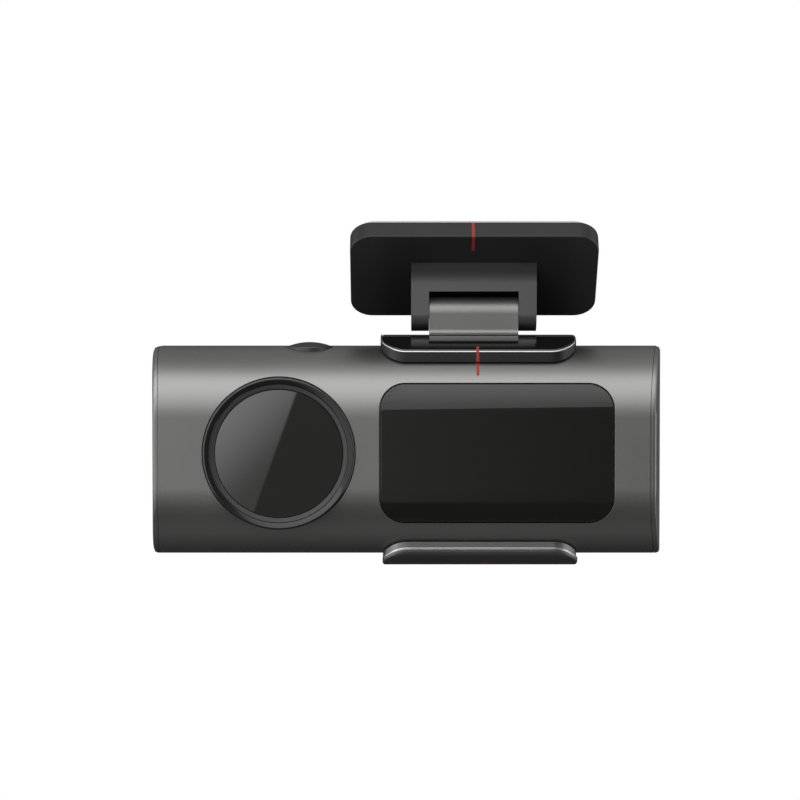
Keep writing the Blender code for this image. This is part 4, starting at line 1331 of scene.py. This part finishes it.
@dataclass
class UpperPad(RaisedPad):
    """A thin rim round a glossy cover, on a neck that leaves a dark line under it; the rim's bevel catches
    the light and is made brighter by a painted highlight.
    """

    node: str = "upper_boss"
    side: int = 1
    rise: float = 2.45 * MM
    rim: float = 0.42 * MM
    cover: float = 1.0 * MM
    neck_inset: float = 0.8 * MM
    neck: float = 0.6 * MM
    edge: float = 0.18 * MM

    def build(self) -> None:
        """Makes the pad and its cover."""
        floor = self.rise - self.cover
        pad = self.slab("upper_boss_looks", 0, self.neck, self.rise)
        Bench.combine(pad, self.slab("pocket", -self.rim, floor, self.rise + MM), Join.CUT)
        Bench.combine(pad, self.slab("neck", -self.neck_inset, FIT, self.neck + FIT), Join.ADD)
        # the rim's bevel takes the second finish, whose lighter tone is a painted highlight
        Bench.coat(pad, PAD_METAL, PAINTED_HIGHLIGHT_EDGE)
        Bench.bevel_where(pad, self.casing.rim_at(self.rise, slack=self.slack), self.edge, 2, 1)
        settle(pad, PAD_METAL, "camera", "upper_boss", skin=self.casing)
        cover = self.slab("upper_boss_cover_looks", -self.rim - FIT, floor + FIT, self.rise - FIT / 2)
        Bench.bevel_where(cover, self.casing.rim_at(self.rise, slack=self.slack + FIT), self.edge, 2)
        settle(cover, MARKED_PIANO, "camera", "upper_boss_cover", skin=self.casing)


@dataclass
class LowerPad(RaisedPad):
    """A wall set in a little, a chamfered lip that catches the light and is made brighter by a painted
    highlight, and a dark cover up to the lip's edge.
    """

    node: str = "lower_boss"
    side: int = -1
    rise: float = 2.6 * MM
    wall_inset: float = 0.3 * MM
    lip_start: float = 1.3 * MM
    lip: float = 0.5 * MM
    lip_round: float = 0.3 * MM
    neck_inset: float = 0.8 * MM
    neck: float = 0.3 * MM
    edge: float = 0.6 * MM

    def build(self) -> None:
        """Makes the pad and its cover."""
        lip_end = self.lip_start + self.lip
        pad = self.slab("lower_boss_looks", 0, self.lip_start, lip_end)
        # the whole lip takes the second finish, whose lighter tone is a painted highlight
        Bench.coat(pad, LOWER_WALL, PAINTED_HIGHLIGHT_EDGE)
        for face in pad.data.polygons:
            face.material_index = 1
        Bench.bevel_where(pad, self.under_lip, self.lip_round, 4)
        Bench.combine(pad, self.slab("wall", -self.wall_inset, self.neck, self.lip_start + FIT), Join.ADD)
        Bench.combine(pad, self.slab("neck", -self.neck_inset, FIT, self.neck + FIT), Join.ADD)
        cover = self.slab("lower_boss_cover_looks", 0, lip_end + FIT / 2, self.rise)
        Bench.bevel_where(cover, self.casing.rim_at(self.rise, slack=self.slack), self.edge, 5)
        self.vent(pad, cover)
        settle(pad, LOWER_WALL, "camera", "lower_boss", skin=self.casing)
        settle(cover, LOWER_COVER, "camera", "lower_boss_cover", skin=self.casing)

    def under_lip(self, edge: bmesh.types.BMEdge) -> bool:
        """Picks the lip's sharp edge nearest to the casing."""
        start = self.casing.corner_radius + self.lip_start
        reach = [self.casing.from_core(vert.co).length for vert in edge.verts]
        near = all(abs(length - start) < self.slack for length in reach)
        return near and edge.calc_face_angle(0) > math.radians(SHARP)


# ---------------------------------------------------------------- window and screen


@dataclass
class RoundWindow:
    """The cabin camera's window: a deep glossy ring, a matt inner ring and smoked glass."""

    ring_width: float = 1.45 * MM
    inner_width: float = 1.0 * MM
    ledge: float = 1.0 * MM
    edge: float = 0.45 * MM
    slope: float = 0.25 * MM
    groove: float = 3.0 * MM
    inner_depth: float = 0.9 * MM
    sides: int = 192

    def build(self) -> None:
        """Makes the two rings and the glass."""
        box = Span.of("window_ring")
        centre = Vector((box.centre.x, 0, box.centre.z))
        outer = box.size.x / 2
        front, back = box.low.y, box.high.y
        inner = outer - self.ring_width
        seat = Span.of("window_glass")
        floor = seat.high.y
        nose = arc((outer - self.edge, front + self.edge), self.edge, 0, -90, 6)
        profile = nose + [
            (inner + FIT, front + self.slope),
            (inner, front + self.slope + FIT),
            (inner, floor + MM),
            (inner - self.ledge, floor + MM),
            (inner - self.ledge, floor + 2 * MM),
            (outer - self.groove, back),
            (outer, back),
        ]
        ring = Bench.turned("window_ring_looks", profile, centre, Axis.Y, self.sides)
        settle(ring, RING_BLACK, "camera", "window_ring")
        self.inner_ring(centre, inner - FIT, Span.of("window_inner_ring").low.y, floor)
        glass_radius = inner - self.inner_width - 2 * FIT
        lip = arc((glass_radius - 2 * FIT, seat.low.y + 2 * FIT), 2 * FIT, 0, -90, 3)
        section = [*lip, (0, seat.low.y), (0, floor), (glass_radius, floor)]
        glass = Bench.turned("window_glass_looks", section, centre, Axis.Y, self.sides)
        settle(glass, WINDOW_GLASS, "camera", "window_glass")

    def inner_ring(self, centre: Vector, outer: float, front: float, floor: float) -> None:
        """The matt ring between the outer ring and the glass, dished a little inwards.

        Args:
            centre: a point on the window's axis.
            outer: the ring's outer radius.
            front: where it starts along the axis.
            floor: where the glass ends.
        """
        inner = outer - self.inner_width
        profile = [
            (outer, front + FIT),
            (outer - FIT, front),
            (inner + 2 * FIT, front + 2 * FIT),
            (inner, front + 4 * FIT),
            (inner, floor + FIT),
            (inner - self.ledge / 2, floor + FIT),
            (inner - self.ledge / 2, floor + self.inner_depth),
            (outer, floor + self.inner_depth),
        ]
        ring = Bench.turned("window_inner_ring_looks", profile, centre, Axis.Y, self.sides)
        settle(ring, INNER_RING, "camera", "window_inner_ring")


@dataclass
class Screen:
    """The curved cover glass, flush with the casing's skin."""

    casing: Casing
    radius: float = 5.4 * MM
    edge: float = 0.35 * MM
    slack: float = 0.04 * MM

    def build(self) -> None:
        """Makes the glass."""
        casing = self.casing
        seat = Span.of("screen_glass")
        front = (casing.ends.low.y - MM, casing.seam_y() - MM)
        size = (seat.size.x, seat.size.z)
        glass = Bench.pad("screen_glass_looks", seat.centre, size, self.radius, front, Axis.Y, 20)
        Bench.combine(glass, casing.block(0), Join.COMMON)
        Bench.combine(glass, casing.block(-SCREEN_THICKNESS), Join.CUT)
        Bench.tidy(glass)
        plain = self.radius + PLAIN_MARGIN
        Bench.score(glass, Axis.X, seat.low.x + plain, seat.high.x - plain)
        Bench.bevel_where(glass, casing.rim_at(0, slack=self.slack), self.edge, 3)
        settle(glass, SCREEN_GLASS, "camera", "screen_glass", skin=casing)


# ---------------------------------------------------------------- power button


@dataclass
class PowerButton:
    """The low dome on top, held by its flange."""

    steps: int = 10
    edge: float = 0.3 * MM
    dome: float = 1.15 * MM
    dome_share: float = 0.8
    flange_height: float = 3.0 * MM
    flange: float = 0.8 * MM
    stem_radius: float = 1.5 * MM

    def build(self) -> None:
        """Makes the button."""
        box = Span.of("power_button")
        centre = Vector((box.centre.x, box.centre.y, 0))
        crown = []
        for step in range(self.steps + 1):
            part = step / self.steps
            height = box.high.z - self.dome * self.dome_share * part**2
            crown.append(((BUTTON_RADIUS - self.edge) * part, height))
        shoulder = (BUTTON_RADIUS - self.edge, crown[-1][1] - self.edge)
        flange_top = box.low.z + self.flange_height
        flange_radius = box.size.x / 2 - MM / 2
        profile = crown + arc(shoulder, self.edge, 75, 0, 4) + [
            (BUTTON_RADIUS, flange_top),
            (flange_radius, flange_top),
            (flange_radius, flange_top - self.flange),
            (self.stem_radius, flange_top - self.flange),
            (self.stem_radius, box.low.z),
            (0, box.low.z),
        ]
        button = Bench.turned("power_button_looks", profile, centre, Axis.Z, 96)
        settle(button, BUTTON_METAL, "button", "power_button")


# ---------------------------------------------------------------- windscreen bracket


@dataclass
class WindscreenBracket:
    """Foam pad, plate, hinge bracket, pin and the camera's arm.

    The plate lies in the windscreen's plane, and rake is that plane's slope.
    """

    rake: float = math.radians(43.0)
    pad_thickness: float = 0.8 * MM
    pad_room: float = 1.1 * MM
    pad_edge: float = 0.15 * MM
    plate_thickness: float = 4.5 * MM
    plate_radius: float = 4.8 * MM
    plate_edge: float = 0.35 * MM
    barrel_radius: float = 3.75 * MM
    barrel_to_plate: float = 0.67 * MM
    arm_width: float = 19.4 * MM
    arm_fit: float = 0.1 * MM
    arm_flare: float = 1.3 * MM
    arm_edge: float = 0.3 * MM
    arm_seat_radius: float = 2.7 * MM
    arm_seat: float = 0.9 * MM
    ear_width: float = 3.8 * MM
    ear_edge: float = 0.25 * MM
    slot_room: float = 1.2 * MM
    sweep: float = 2.6 * MM
    pin_radius: float = 1.0 * MM
    pin_edge: float = 0.25 * MM

    @property
    def hinge(self) -> Vector:
        """The hinge axis, through the middle of the pin."""
        return Span.of("hinge_pin").centre

    def build(self) -> None:
        """Makes the five pieces."""
        self.pad_and_plate()
        self.bracket()
        self.pin()
        self.arm()

    def pad_and_plate(self) -> None:
        """The foam pad and the plate, made lying flat and then tilted."""
        pad_box = Span.of("adhesive_pad")
        plate_box = Span.of("mount_plate")
        pad_size = (pad_box.size.x, self.width_of(pad_box, self.pad_thickness))
        plate_size = (plate_box.size.x, self.width_of(plate_box, self.plate_thickness))
        back = -self.pad_room
        pad_span = (back + FIT, 0)
        plate_span = (back - self.plate_thickness, back)
        middle = Vector((plate_box.centre.x, 0, 0))
        pad = Bench.pad("adhesive_pad_looks", middle, pad_size, self.plate_radius, pad_span, Axis.Z)
        Bench.soften(pad, self.pad_edge, 2, 60)
        plate = Bench.pad("mount_plate_looks", middle, plate_size, self.plate_radius, plate_span, Axis.Z)
        Bench.soften(plate, self.plate_edge, 3, 60)
        for solid in (pad, plate):
            Bench.tilt(solid, -self.rake)
        settle(pad, FOAM, "mount", "adhesive_pad")
        settle(plate, MARKED_BLACK, "mount", "mount_plate")

    def width_of(self, box: Span, thickness: float) -> float:
        """The width down the windscreen of a flat piece, from its upright box."""
        return (box.size.y - thickness * math.sin(self.rake)) / math.cos(self.rake)

    def outline(self) -> list[Point2]:
        """The bracket from the side, as (y, z) round the hinge axis."""
        out = Vector((math.sin(self.rake), math.cos(self.rake)))
        up_plate = Vector((-math.cos(self.rake), math.sin(self.rake)))
        reach = self.barrel_radius + self.barrel_to_plate - FIT
        front_y = -self.barrel_radius
        corner_z = (reach - out.x * front_y) / out.y
        turn = math.pi / 2 - self.rake
        sweep_radius = self.sweep / math.tan(turn / 2)
        centre = (front_y - sweep_radius, corner_z - self.sweep)
        sweep = arc(centre, sweep_radius, math.degrees(turn), 0, 12)
        barrel = arc((0, 0), self.barrel_radius, 180, 360 - math.degrees(self.rake), 48)
        lower = -up_plate * self.barrel_radius + out * reach
        return sweep + barrel + [tuple(lower)]

    def bracket(self) -> None:
        """Two ears hanging from a sweep out of the plate, with the arm's slot between them."""
        half = self.arm_width / 2 + self.arm_fit * 2 + self.ear_width
        hinge = self.hinge
        outline = [(y + hinge.y, z + hinge.z) for y, z in self.outline()]
        solid = Bench.prism("hinge_bracket_looks", outline, -half, half, Axis.X)
        ceiling = hinge.z + self.barrel_radius + self.slot_room
        side = self.arm_width / 2 + self.arm_fit
        low = Vector((-side, -FAR, -FAR))
        Bench.combine(solid, Bench.box("slot", low, Vector((side, FAR, ceiling))), Join.CUT)
        bore = (-half - MM, half - self.ear_width / 4)
        Bench.combine(solid, Bench.drum("bore", hinge, self.pin_radius + FIT, bore, Axis.X), Join.CUT)
        Bench.soften(solid, self.ear_edge, 2, 50)
        settle(solid, BRACKET_METAL, "mount", "hinge_bracket")

    def pin(self) -> None:
        """The steel pin with chamfered ends."""
        box = Span.of("hinge_pin")
        edge = self.pin_edge
        radius = self.pin_radius
        profile = [
            (0, box.low.x),
            (radius - edge, box.low.x),
            (radius, box.low.x + edge),
            (radius, box.high.x - edge),
            (radius - edge, box.high.x),
            (0, box.high.x),
        ]
        centre = Vector((0, box.centre.y, box.centre.z))
        pin = Bench.turned("hinge_pin_looks", profile, centre, Axis.X, 48)
        settle(pin, STEEL, "mount", "hinge_pin")

    def arm(self) -> None:
        """The camera's arm: a barrel on a flat blade with a flared foot."""
        hinge = self.hinge
        foot = Span.of("upper_boss").high.z + FIT / 2 - hinge.z
        flare = (self.barrel_radius + self.arm_flare, foot + self.arm_flare)
        right = arc(flare, self.arm_flare, -90, -180, 10)
        left = [(-y, z) for y, z in reversed(right)]
        round_top = arc((0, 0), self.barrel_radius, 0, 180, 48)
        outline = [(y + hinge.y, z + hinge.z) for y, z in right + round_top + left]
        half = self.arm_width / 2
        solid = Bench.prism("mount_arm_looks", outline, -half, half, Axis.X)
        bore = Bench.drum("bore", hinge, self.pin_radius + FIT, (-half - MM, half + MM), Axis.X)
        Bench.combine(solid, bore, Join.CUT)
        for sign in (-1, 1):
            span = tuple(sorted((sign * (half - self.arm_seat), sign * (half + MM))))
            seat = Bench.drum("seat", hinge, self.arm_seat_radius, span, Axis.X)
            Bench.combine(solid, seat, Join.CUT)
        Bench.soften(solid, self.arm_edge, 3, 50)
        settle(solid, ARM_METAL, "camera", "mount_arm")


# ---------------------------------------------------------------- road camera


@dataclass
class RoadCamera:
    """The proud housing, the stepped cone and the front lens, facing the road."""

    chamfer: float = 0.6 * MM
    steps: int = 5
    cone_rim: float = 0.3 * MM
    cone_depth: float = 1.7 * MM
    dome: float = 1.6 * MM
    dome_steps: int = 12

    def build(self) -> None:
        """Makes the three pieces."""
        housing_box = Span.of("road_lens_housing")
        cone_box = Span.of("road_lens_cone")
        lens_box = Span.of("road_front_lens")
        centre = Vector((housing_box.centre.x, 0, housing_box.centre.z))
        bore = cone_box.size.x / 2 + FIT
        outer = bore + ROAD_RING_WIDTH - FIT
        front = housing_box.high.y
        flange = housing_box.size.x / 2
        flange_back = housing_box.low.y
        profile = [
            (bore, flange_back),
            (flange, flange_back),
            (flange, flange_back + MM),
            (outer, flange_back + MM),
            *arc((outer - self.chamfer, front - self.chamfer), self.chamfer, 0, 90, 5),
            (bore + 2 * FIT, front),
            (bore, front - 2 * FIT),
        ]
        housing = Bench.turned("road_lens_housing_looks", profile, centre, Axis.Y, 160)
        settle(housing, GUNMETAL, "camera", "road_lens_housing")
        self.cone(centre, cone_box, lens_box.size.x / 2 + FIT)
        self.lens(centre, lens_box)

    def cone(self, centre: Vector, box: Span, throat: float) -> None:
        """A cone of small steps that keeps stray light off the lens.

        Args:
            centre: a point on the lens's axis.
            box: the cone's box.
            throat: the radius at its inner end.
        """
        outer = box.size.x / 2
        mouth = outer - self.cone_rim
        front = box.high.y
        stair = []
        for step in range(self.steps):
            here = mouth - (mouth - throat) * step / self.steps
            after = mouth - (mouth - throat) * (step + 1) / self.steps
            level = front - self.cone_depth * (step + 1) / self.steps
            stair += [(here, level), (after, level)]
        profile = [(outer, front), (mouth, front), *stair, (throat, box.low.y), (outer, box.low.y)]
        cone = Bench.turned("road_lens_cone_looks", profile, centre, Axis.Y, 128)
        settle(cone, MATT_BLACK, "camera", "road_lens_cone")

    def lens(self, centre: Vector, box: Span) -> None:
        """A domed front lens.

        Args:
            centre: a point on the lens's axis.
            box: the lens's box.
        """
        radius = box.size.x / 2
        dome = []
        for step in range(self.dome_steps + 1):
            part = step / self.dome_steps
            dome.append((radius * part, box.high.y - self.dome * part**2))
        section = [*dome, (radius, box.low.y), (0, box.low.y)]
        lens = Bench.turned("road_front_lens_looks", section, centre, Axis.Y, 96)
        settle(lens, LENS, "camera", "road_front_lens")


# ---------------------------------------------------------------- screws and inlets


@dataclass
class CaseScrews:
    """Four screws that hold the halves together, with a six-sided recess in each head."""

    head_radius: float = 1.6 * MM
    head: float = 1.4 * MM
    shank_radius: float = 0.9 * MM
    recess_radius: float = 0.95 * MM
    recess: float = 0.8 * MM
    edge: float = 0.3 * MM

    def build(self) -> None:
        """Makes one screw at each place."""
        for number in range(1, 5):
            node = f"case_screw_{number}"
            box = Span.of(node)
            centre = Vector((box.centre.x, 0, box.centre.z))
            top = box.high.y
            under = top - self.head
            profile = [
                (0, box.low.y),
                (self.shank_radius, box.low.y),
                (self.shank_radius, under),
                (self.head_radius, under),
                *arc((self.head_radius - self.edge, top - self.edge), self.edge, 0, 90, 4),
                (0, top),
            ]
            screw = Bench.turned(f"{node}_looks", profile, centre, Axis.Y, 48)
            deep = (top - self.recess, top + MM)
            recess = Bench.drum("recess", box.centre, self.recess_radius, deep, Axis.Y, 6)
            Bench.combine(screw, recess, Join.CUT)
            settle(screw, STEEL, "camera", node)


@dataclass
class PowerSocket:
    """The inlet in the left cap: a rounded steel sleeve with its tongue."""

    wall: float = 0.3 * MM
    edge: float = 0.06 * MM
    tongue: float = 0.7 * MM
    tongue_room: float = 1.2 * MM

    def build(self) -> None:
        """Makes the socket."""
        box = Span.of("power_socket")
        size = (box.size.y, box.size.z)
        span = (box.low.x, box.high.x)
        sleeve = Bench.pad("power_socket_looks", box.centre, size, size[0] / SLOT_ROUND, span, Axis.X, 12)
        inside = (size[0] - 2 * self.wall, size[1] - 2 * self.wall)
        hollow = (box.low.x - MM, box.high.x - MM)
        cut = Bench.pad("cut", box.centre, inside, inside[0] / SLOT_ROUND, hollow, Axis.X, 12)
        Bench.combine(sleeve, cut, Join.CUT)
        Bench.soften(sleeve, self.edge, 2, 50)
        tongue_size = (self.tongue, size[1] - 2 * self.tongue_room)
        tongue_span = (box.low.x + self.tongue_room, box.high.x - MM / 2)
        tongue = Bench.pad("tongue", box.centre, tongue_size, self.tongue / 3, tongue_span, Axis.X, 4)
        Bench.combine(sleeve, tongue, Join.ADD)
        settle(sleeve, STEEL, "camera", "power_socket")


# ---------------------------------------------------------------- inside


class Inside:
    """The pieces kept as they come, which only get their finishes."""

    def build(self) -> None:
        """Dresses each kept node."""
        for finish, nodes in INNER_NODES.items():
            for node in nodes:
                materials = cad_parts[node].data.materials
                materials.clear()
                materials.append(Finishes.get(finish))
                LOG.info("%s: dressed in %s", node, finish.name)


# ---------------------------------------------------------------- studio


@dataclass
class Studio:
    """Pale floor, soft sky with one wide softbox in front, and the camera."""

    elevation: float = 2.3
    distance: float = 650.0 * MM
    lens: float = 133.1
    aim_offset: Vector = field(default_factory=lambda: Vector((-0.945 * MM, 0, 10.64 * MM)))
    aim_from_window: float = 26.8 * MM
    floor_drop: float = 120.0 * MM
    floor_radius: float = 300.0 * MM
    side_light: float = 1.3
    room_light: float = 0.08
    below_light: float = 0.13
    overhead_light: float = 0.58
    behind_share: float = 0.55
    wall_light: float = 0.03
    wall_middle: float = 0.22
    wall_left: float = 0.5
    box_light: float = 0.98
    box_rise: float = 0.55
    box_fall: float = 0.6
    box_flare: float = 1.1
    box_lean: float = 1.1
    panel_light: float = 0.6
    panel_rise: float = 2.7
    panel_corner: Point2 = (-0.0352, -0.0372)
    panel_slope: float = 0.358

    def build(self) -> None:
        """Sets the stage."""
        self.floor()
        self.sky()
        self.camera()
        bpy.context.scene.view_settings.view_transform = "Standard"

    def floor(self) -> None:
        """A plain round floor well below the camera."""
        low = CAD_BOX[0].z - self.floor_drop
        at = Vector((0, 0, 0))
        disc = Bench.drum("floor", at, self.floor_radius, (low - 5 * MM, low), Axis.Z, 128)
        disc.data.materials.append(Finishes.get(FLOOR))
        disc.visible_glossy = False
        disc.visible_diffuse = False

    def sky(self) -> None:
        """Light by direction, where x, y and z run from -1 to 1.

        The lamps are soft-edged regions of the sky. A view of the sky itself shows plain white.
        """
        world = bpy.data.worlds.new("studio")
        bpy.context.scene.world = world
        world.use_nodes = True
        graph = Graph(world.node_tree)
        x, y, z = graph.split(graph.node("ShaderNodeTexCoord"))
        front = y * -1.0
        light = self.surround(x, front, z) + self.softbox(x, front, z) + self.side_panel(x, front, z)
        flanks = abs(x).ramp(0.72, 0.84) * abs(z).ramp(0.62, 0.5)
        light = light + flanks * self.side_light
        path = graph.node("ShaderNodeLightPath")
        seen = graph.output(path, "Is Camera Ray")
        strength = light * (1.0 - seen) + seen
        background = graph.node("ShaderNodeBackground", None, {"Color": (1, 1, 1, 1), "Strength": strength})
        graph.node("ShaderNodeOutputWorld", None, {"Surface": background})

    def surround(self, x: Wire, front: Wire, z: Wire) -> Wire:
        """The room: dim below, brighter overhead, and lit from the left in front.

        Args:
            x: the direction's part to the right.
            front: its part towards the camera's side.
            z: its part upwards.

        Returns:
            The light from that direction.
        """
        below = z.ramp(-0.75, -1.0) * self.below_light
        above = z.ramp(0.1, 0.95) * self.overhead_light
        room = self.room_light + below + above
        ahead = front.ramp(0.1, 0.6) * z.ramp(-0.5, -0.4)
        middle = x.ramp(0.09, -0.03) * self.wall_middle
        left = x.ramp(-0.05, -0.5) * self.wall_left
        behind = front.ramp(-0.3, 0.2) * (1 - self.behind_share) + self.behind_share
        return room * behind + ahead * (self.wall_light + middle + left)

    def softbox(self, x: Wire, front: Wire, z: Wire) -> Wire:
        """The wide softbox in front and above, with its lower edge a little aslant.

        Args:
            x: the direction's part to the right.
            front: its part towards the camera's side.
            z: its part upwards.

        Returns:
            The light from that direction.
        """
        lean = x.math("MAXIMUM", -0.05).math("MINIMUM", 0.1) * self.box_lean
        lower_edge = (z - lean).ramp(0.205, 0.215)
        upper_edge = z.ramp(0.97, 0.94)
        ends = (abs(x) - front * self.box_flare).ramp(0.12, 0.02)
        strength = z.ramp(0.25, 0.8) * self.box_rise + self.box_light
        low_right = x.ramp(0.0, 0.4) * z.ramp(0.75, 0.4)
        inside = lower_edge * upper_edge * front.ramp(0.0, 0.03) * ends
        return inside * strength * (1.0 - low_right * self.box_fall)

    def side_panel(self, x: Wire, front: Wire, z: Wire) -> Wire:
        """A small low panel left of the camera, with a slanted edge.

        Args:
            x: the direction's part to the right.
            front: its part towards the camera's side.
            z: its part upwards.

        Returns:
            The light from that direction.
        """
        corner_x, corner_z = self.panel_corner
        slant = x - (z - corner_z) * self.panel_slope - corner_x
        beside = slant.ramp(0.0006, -0.0006) * x.ramp(-0.14, -0.1)
        inside = beside * z.ramp(-0.12, -0.1) * z.ramp(0.03, 0.01)
        fade = (z - x).ramp(-0.025, 0.025) * self.panel_rise + self.panel_light
        return inside * fade * front.ramp(0.8, 0.9)

    def camera(self) -> None:
        """The camera, a long lens a little above the middle of the casing."""
        data = bpy.data.cameras.new("camera")
        data.lens = self.lens
        data.sensor_width = 36.0
        data.clip_start = 10 * MM
        data.clip_end = 10.0
        view = bpy.data.objects.new("camera", data)
        bpy.context.scene.collection.objects.link(view)
        body = Span.of("left_end_cap", "right_end_cap").centre
        window = Span.of("window_ring").centre.x
        middle = Vector((window + self.aim_from_window, body.y, body.z))
        tilt = math.radians(self.elevation)
        back = Vector((0, -math.cos(tilt), math.sin(tilt)))
        view.location = middle + self.aim_offset + back * self.distance
        view.rotation_euler = (math.pi / 2 - tilt, 0, 0)
        bpy.context.scene.camera = view


def main() -> None:
    """Builds every sub-assembly and the studio."""
    logging.basicConfig(level=logging.INFO, format="%(name)s %(message)s")
    casing = Casing()
    Shells(casing).build()
    UpperPad(casing).build()
    LowerPad(casing, slots=Slots()).build()
    RoundWindow().build()
    Screen(casing).build()
    PowerButton().build()
    WindscreenBracket().build()
    RoadCamera().build()
    CaseScrews().build()
    PowerSocket().build()
    Inside().build()
    Studio().build()


if __name__ == "__main__":
    main()
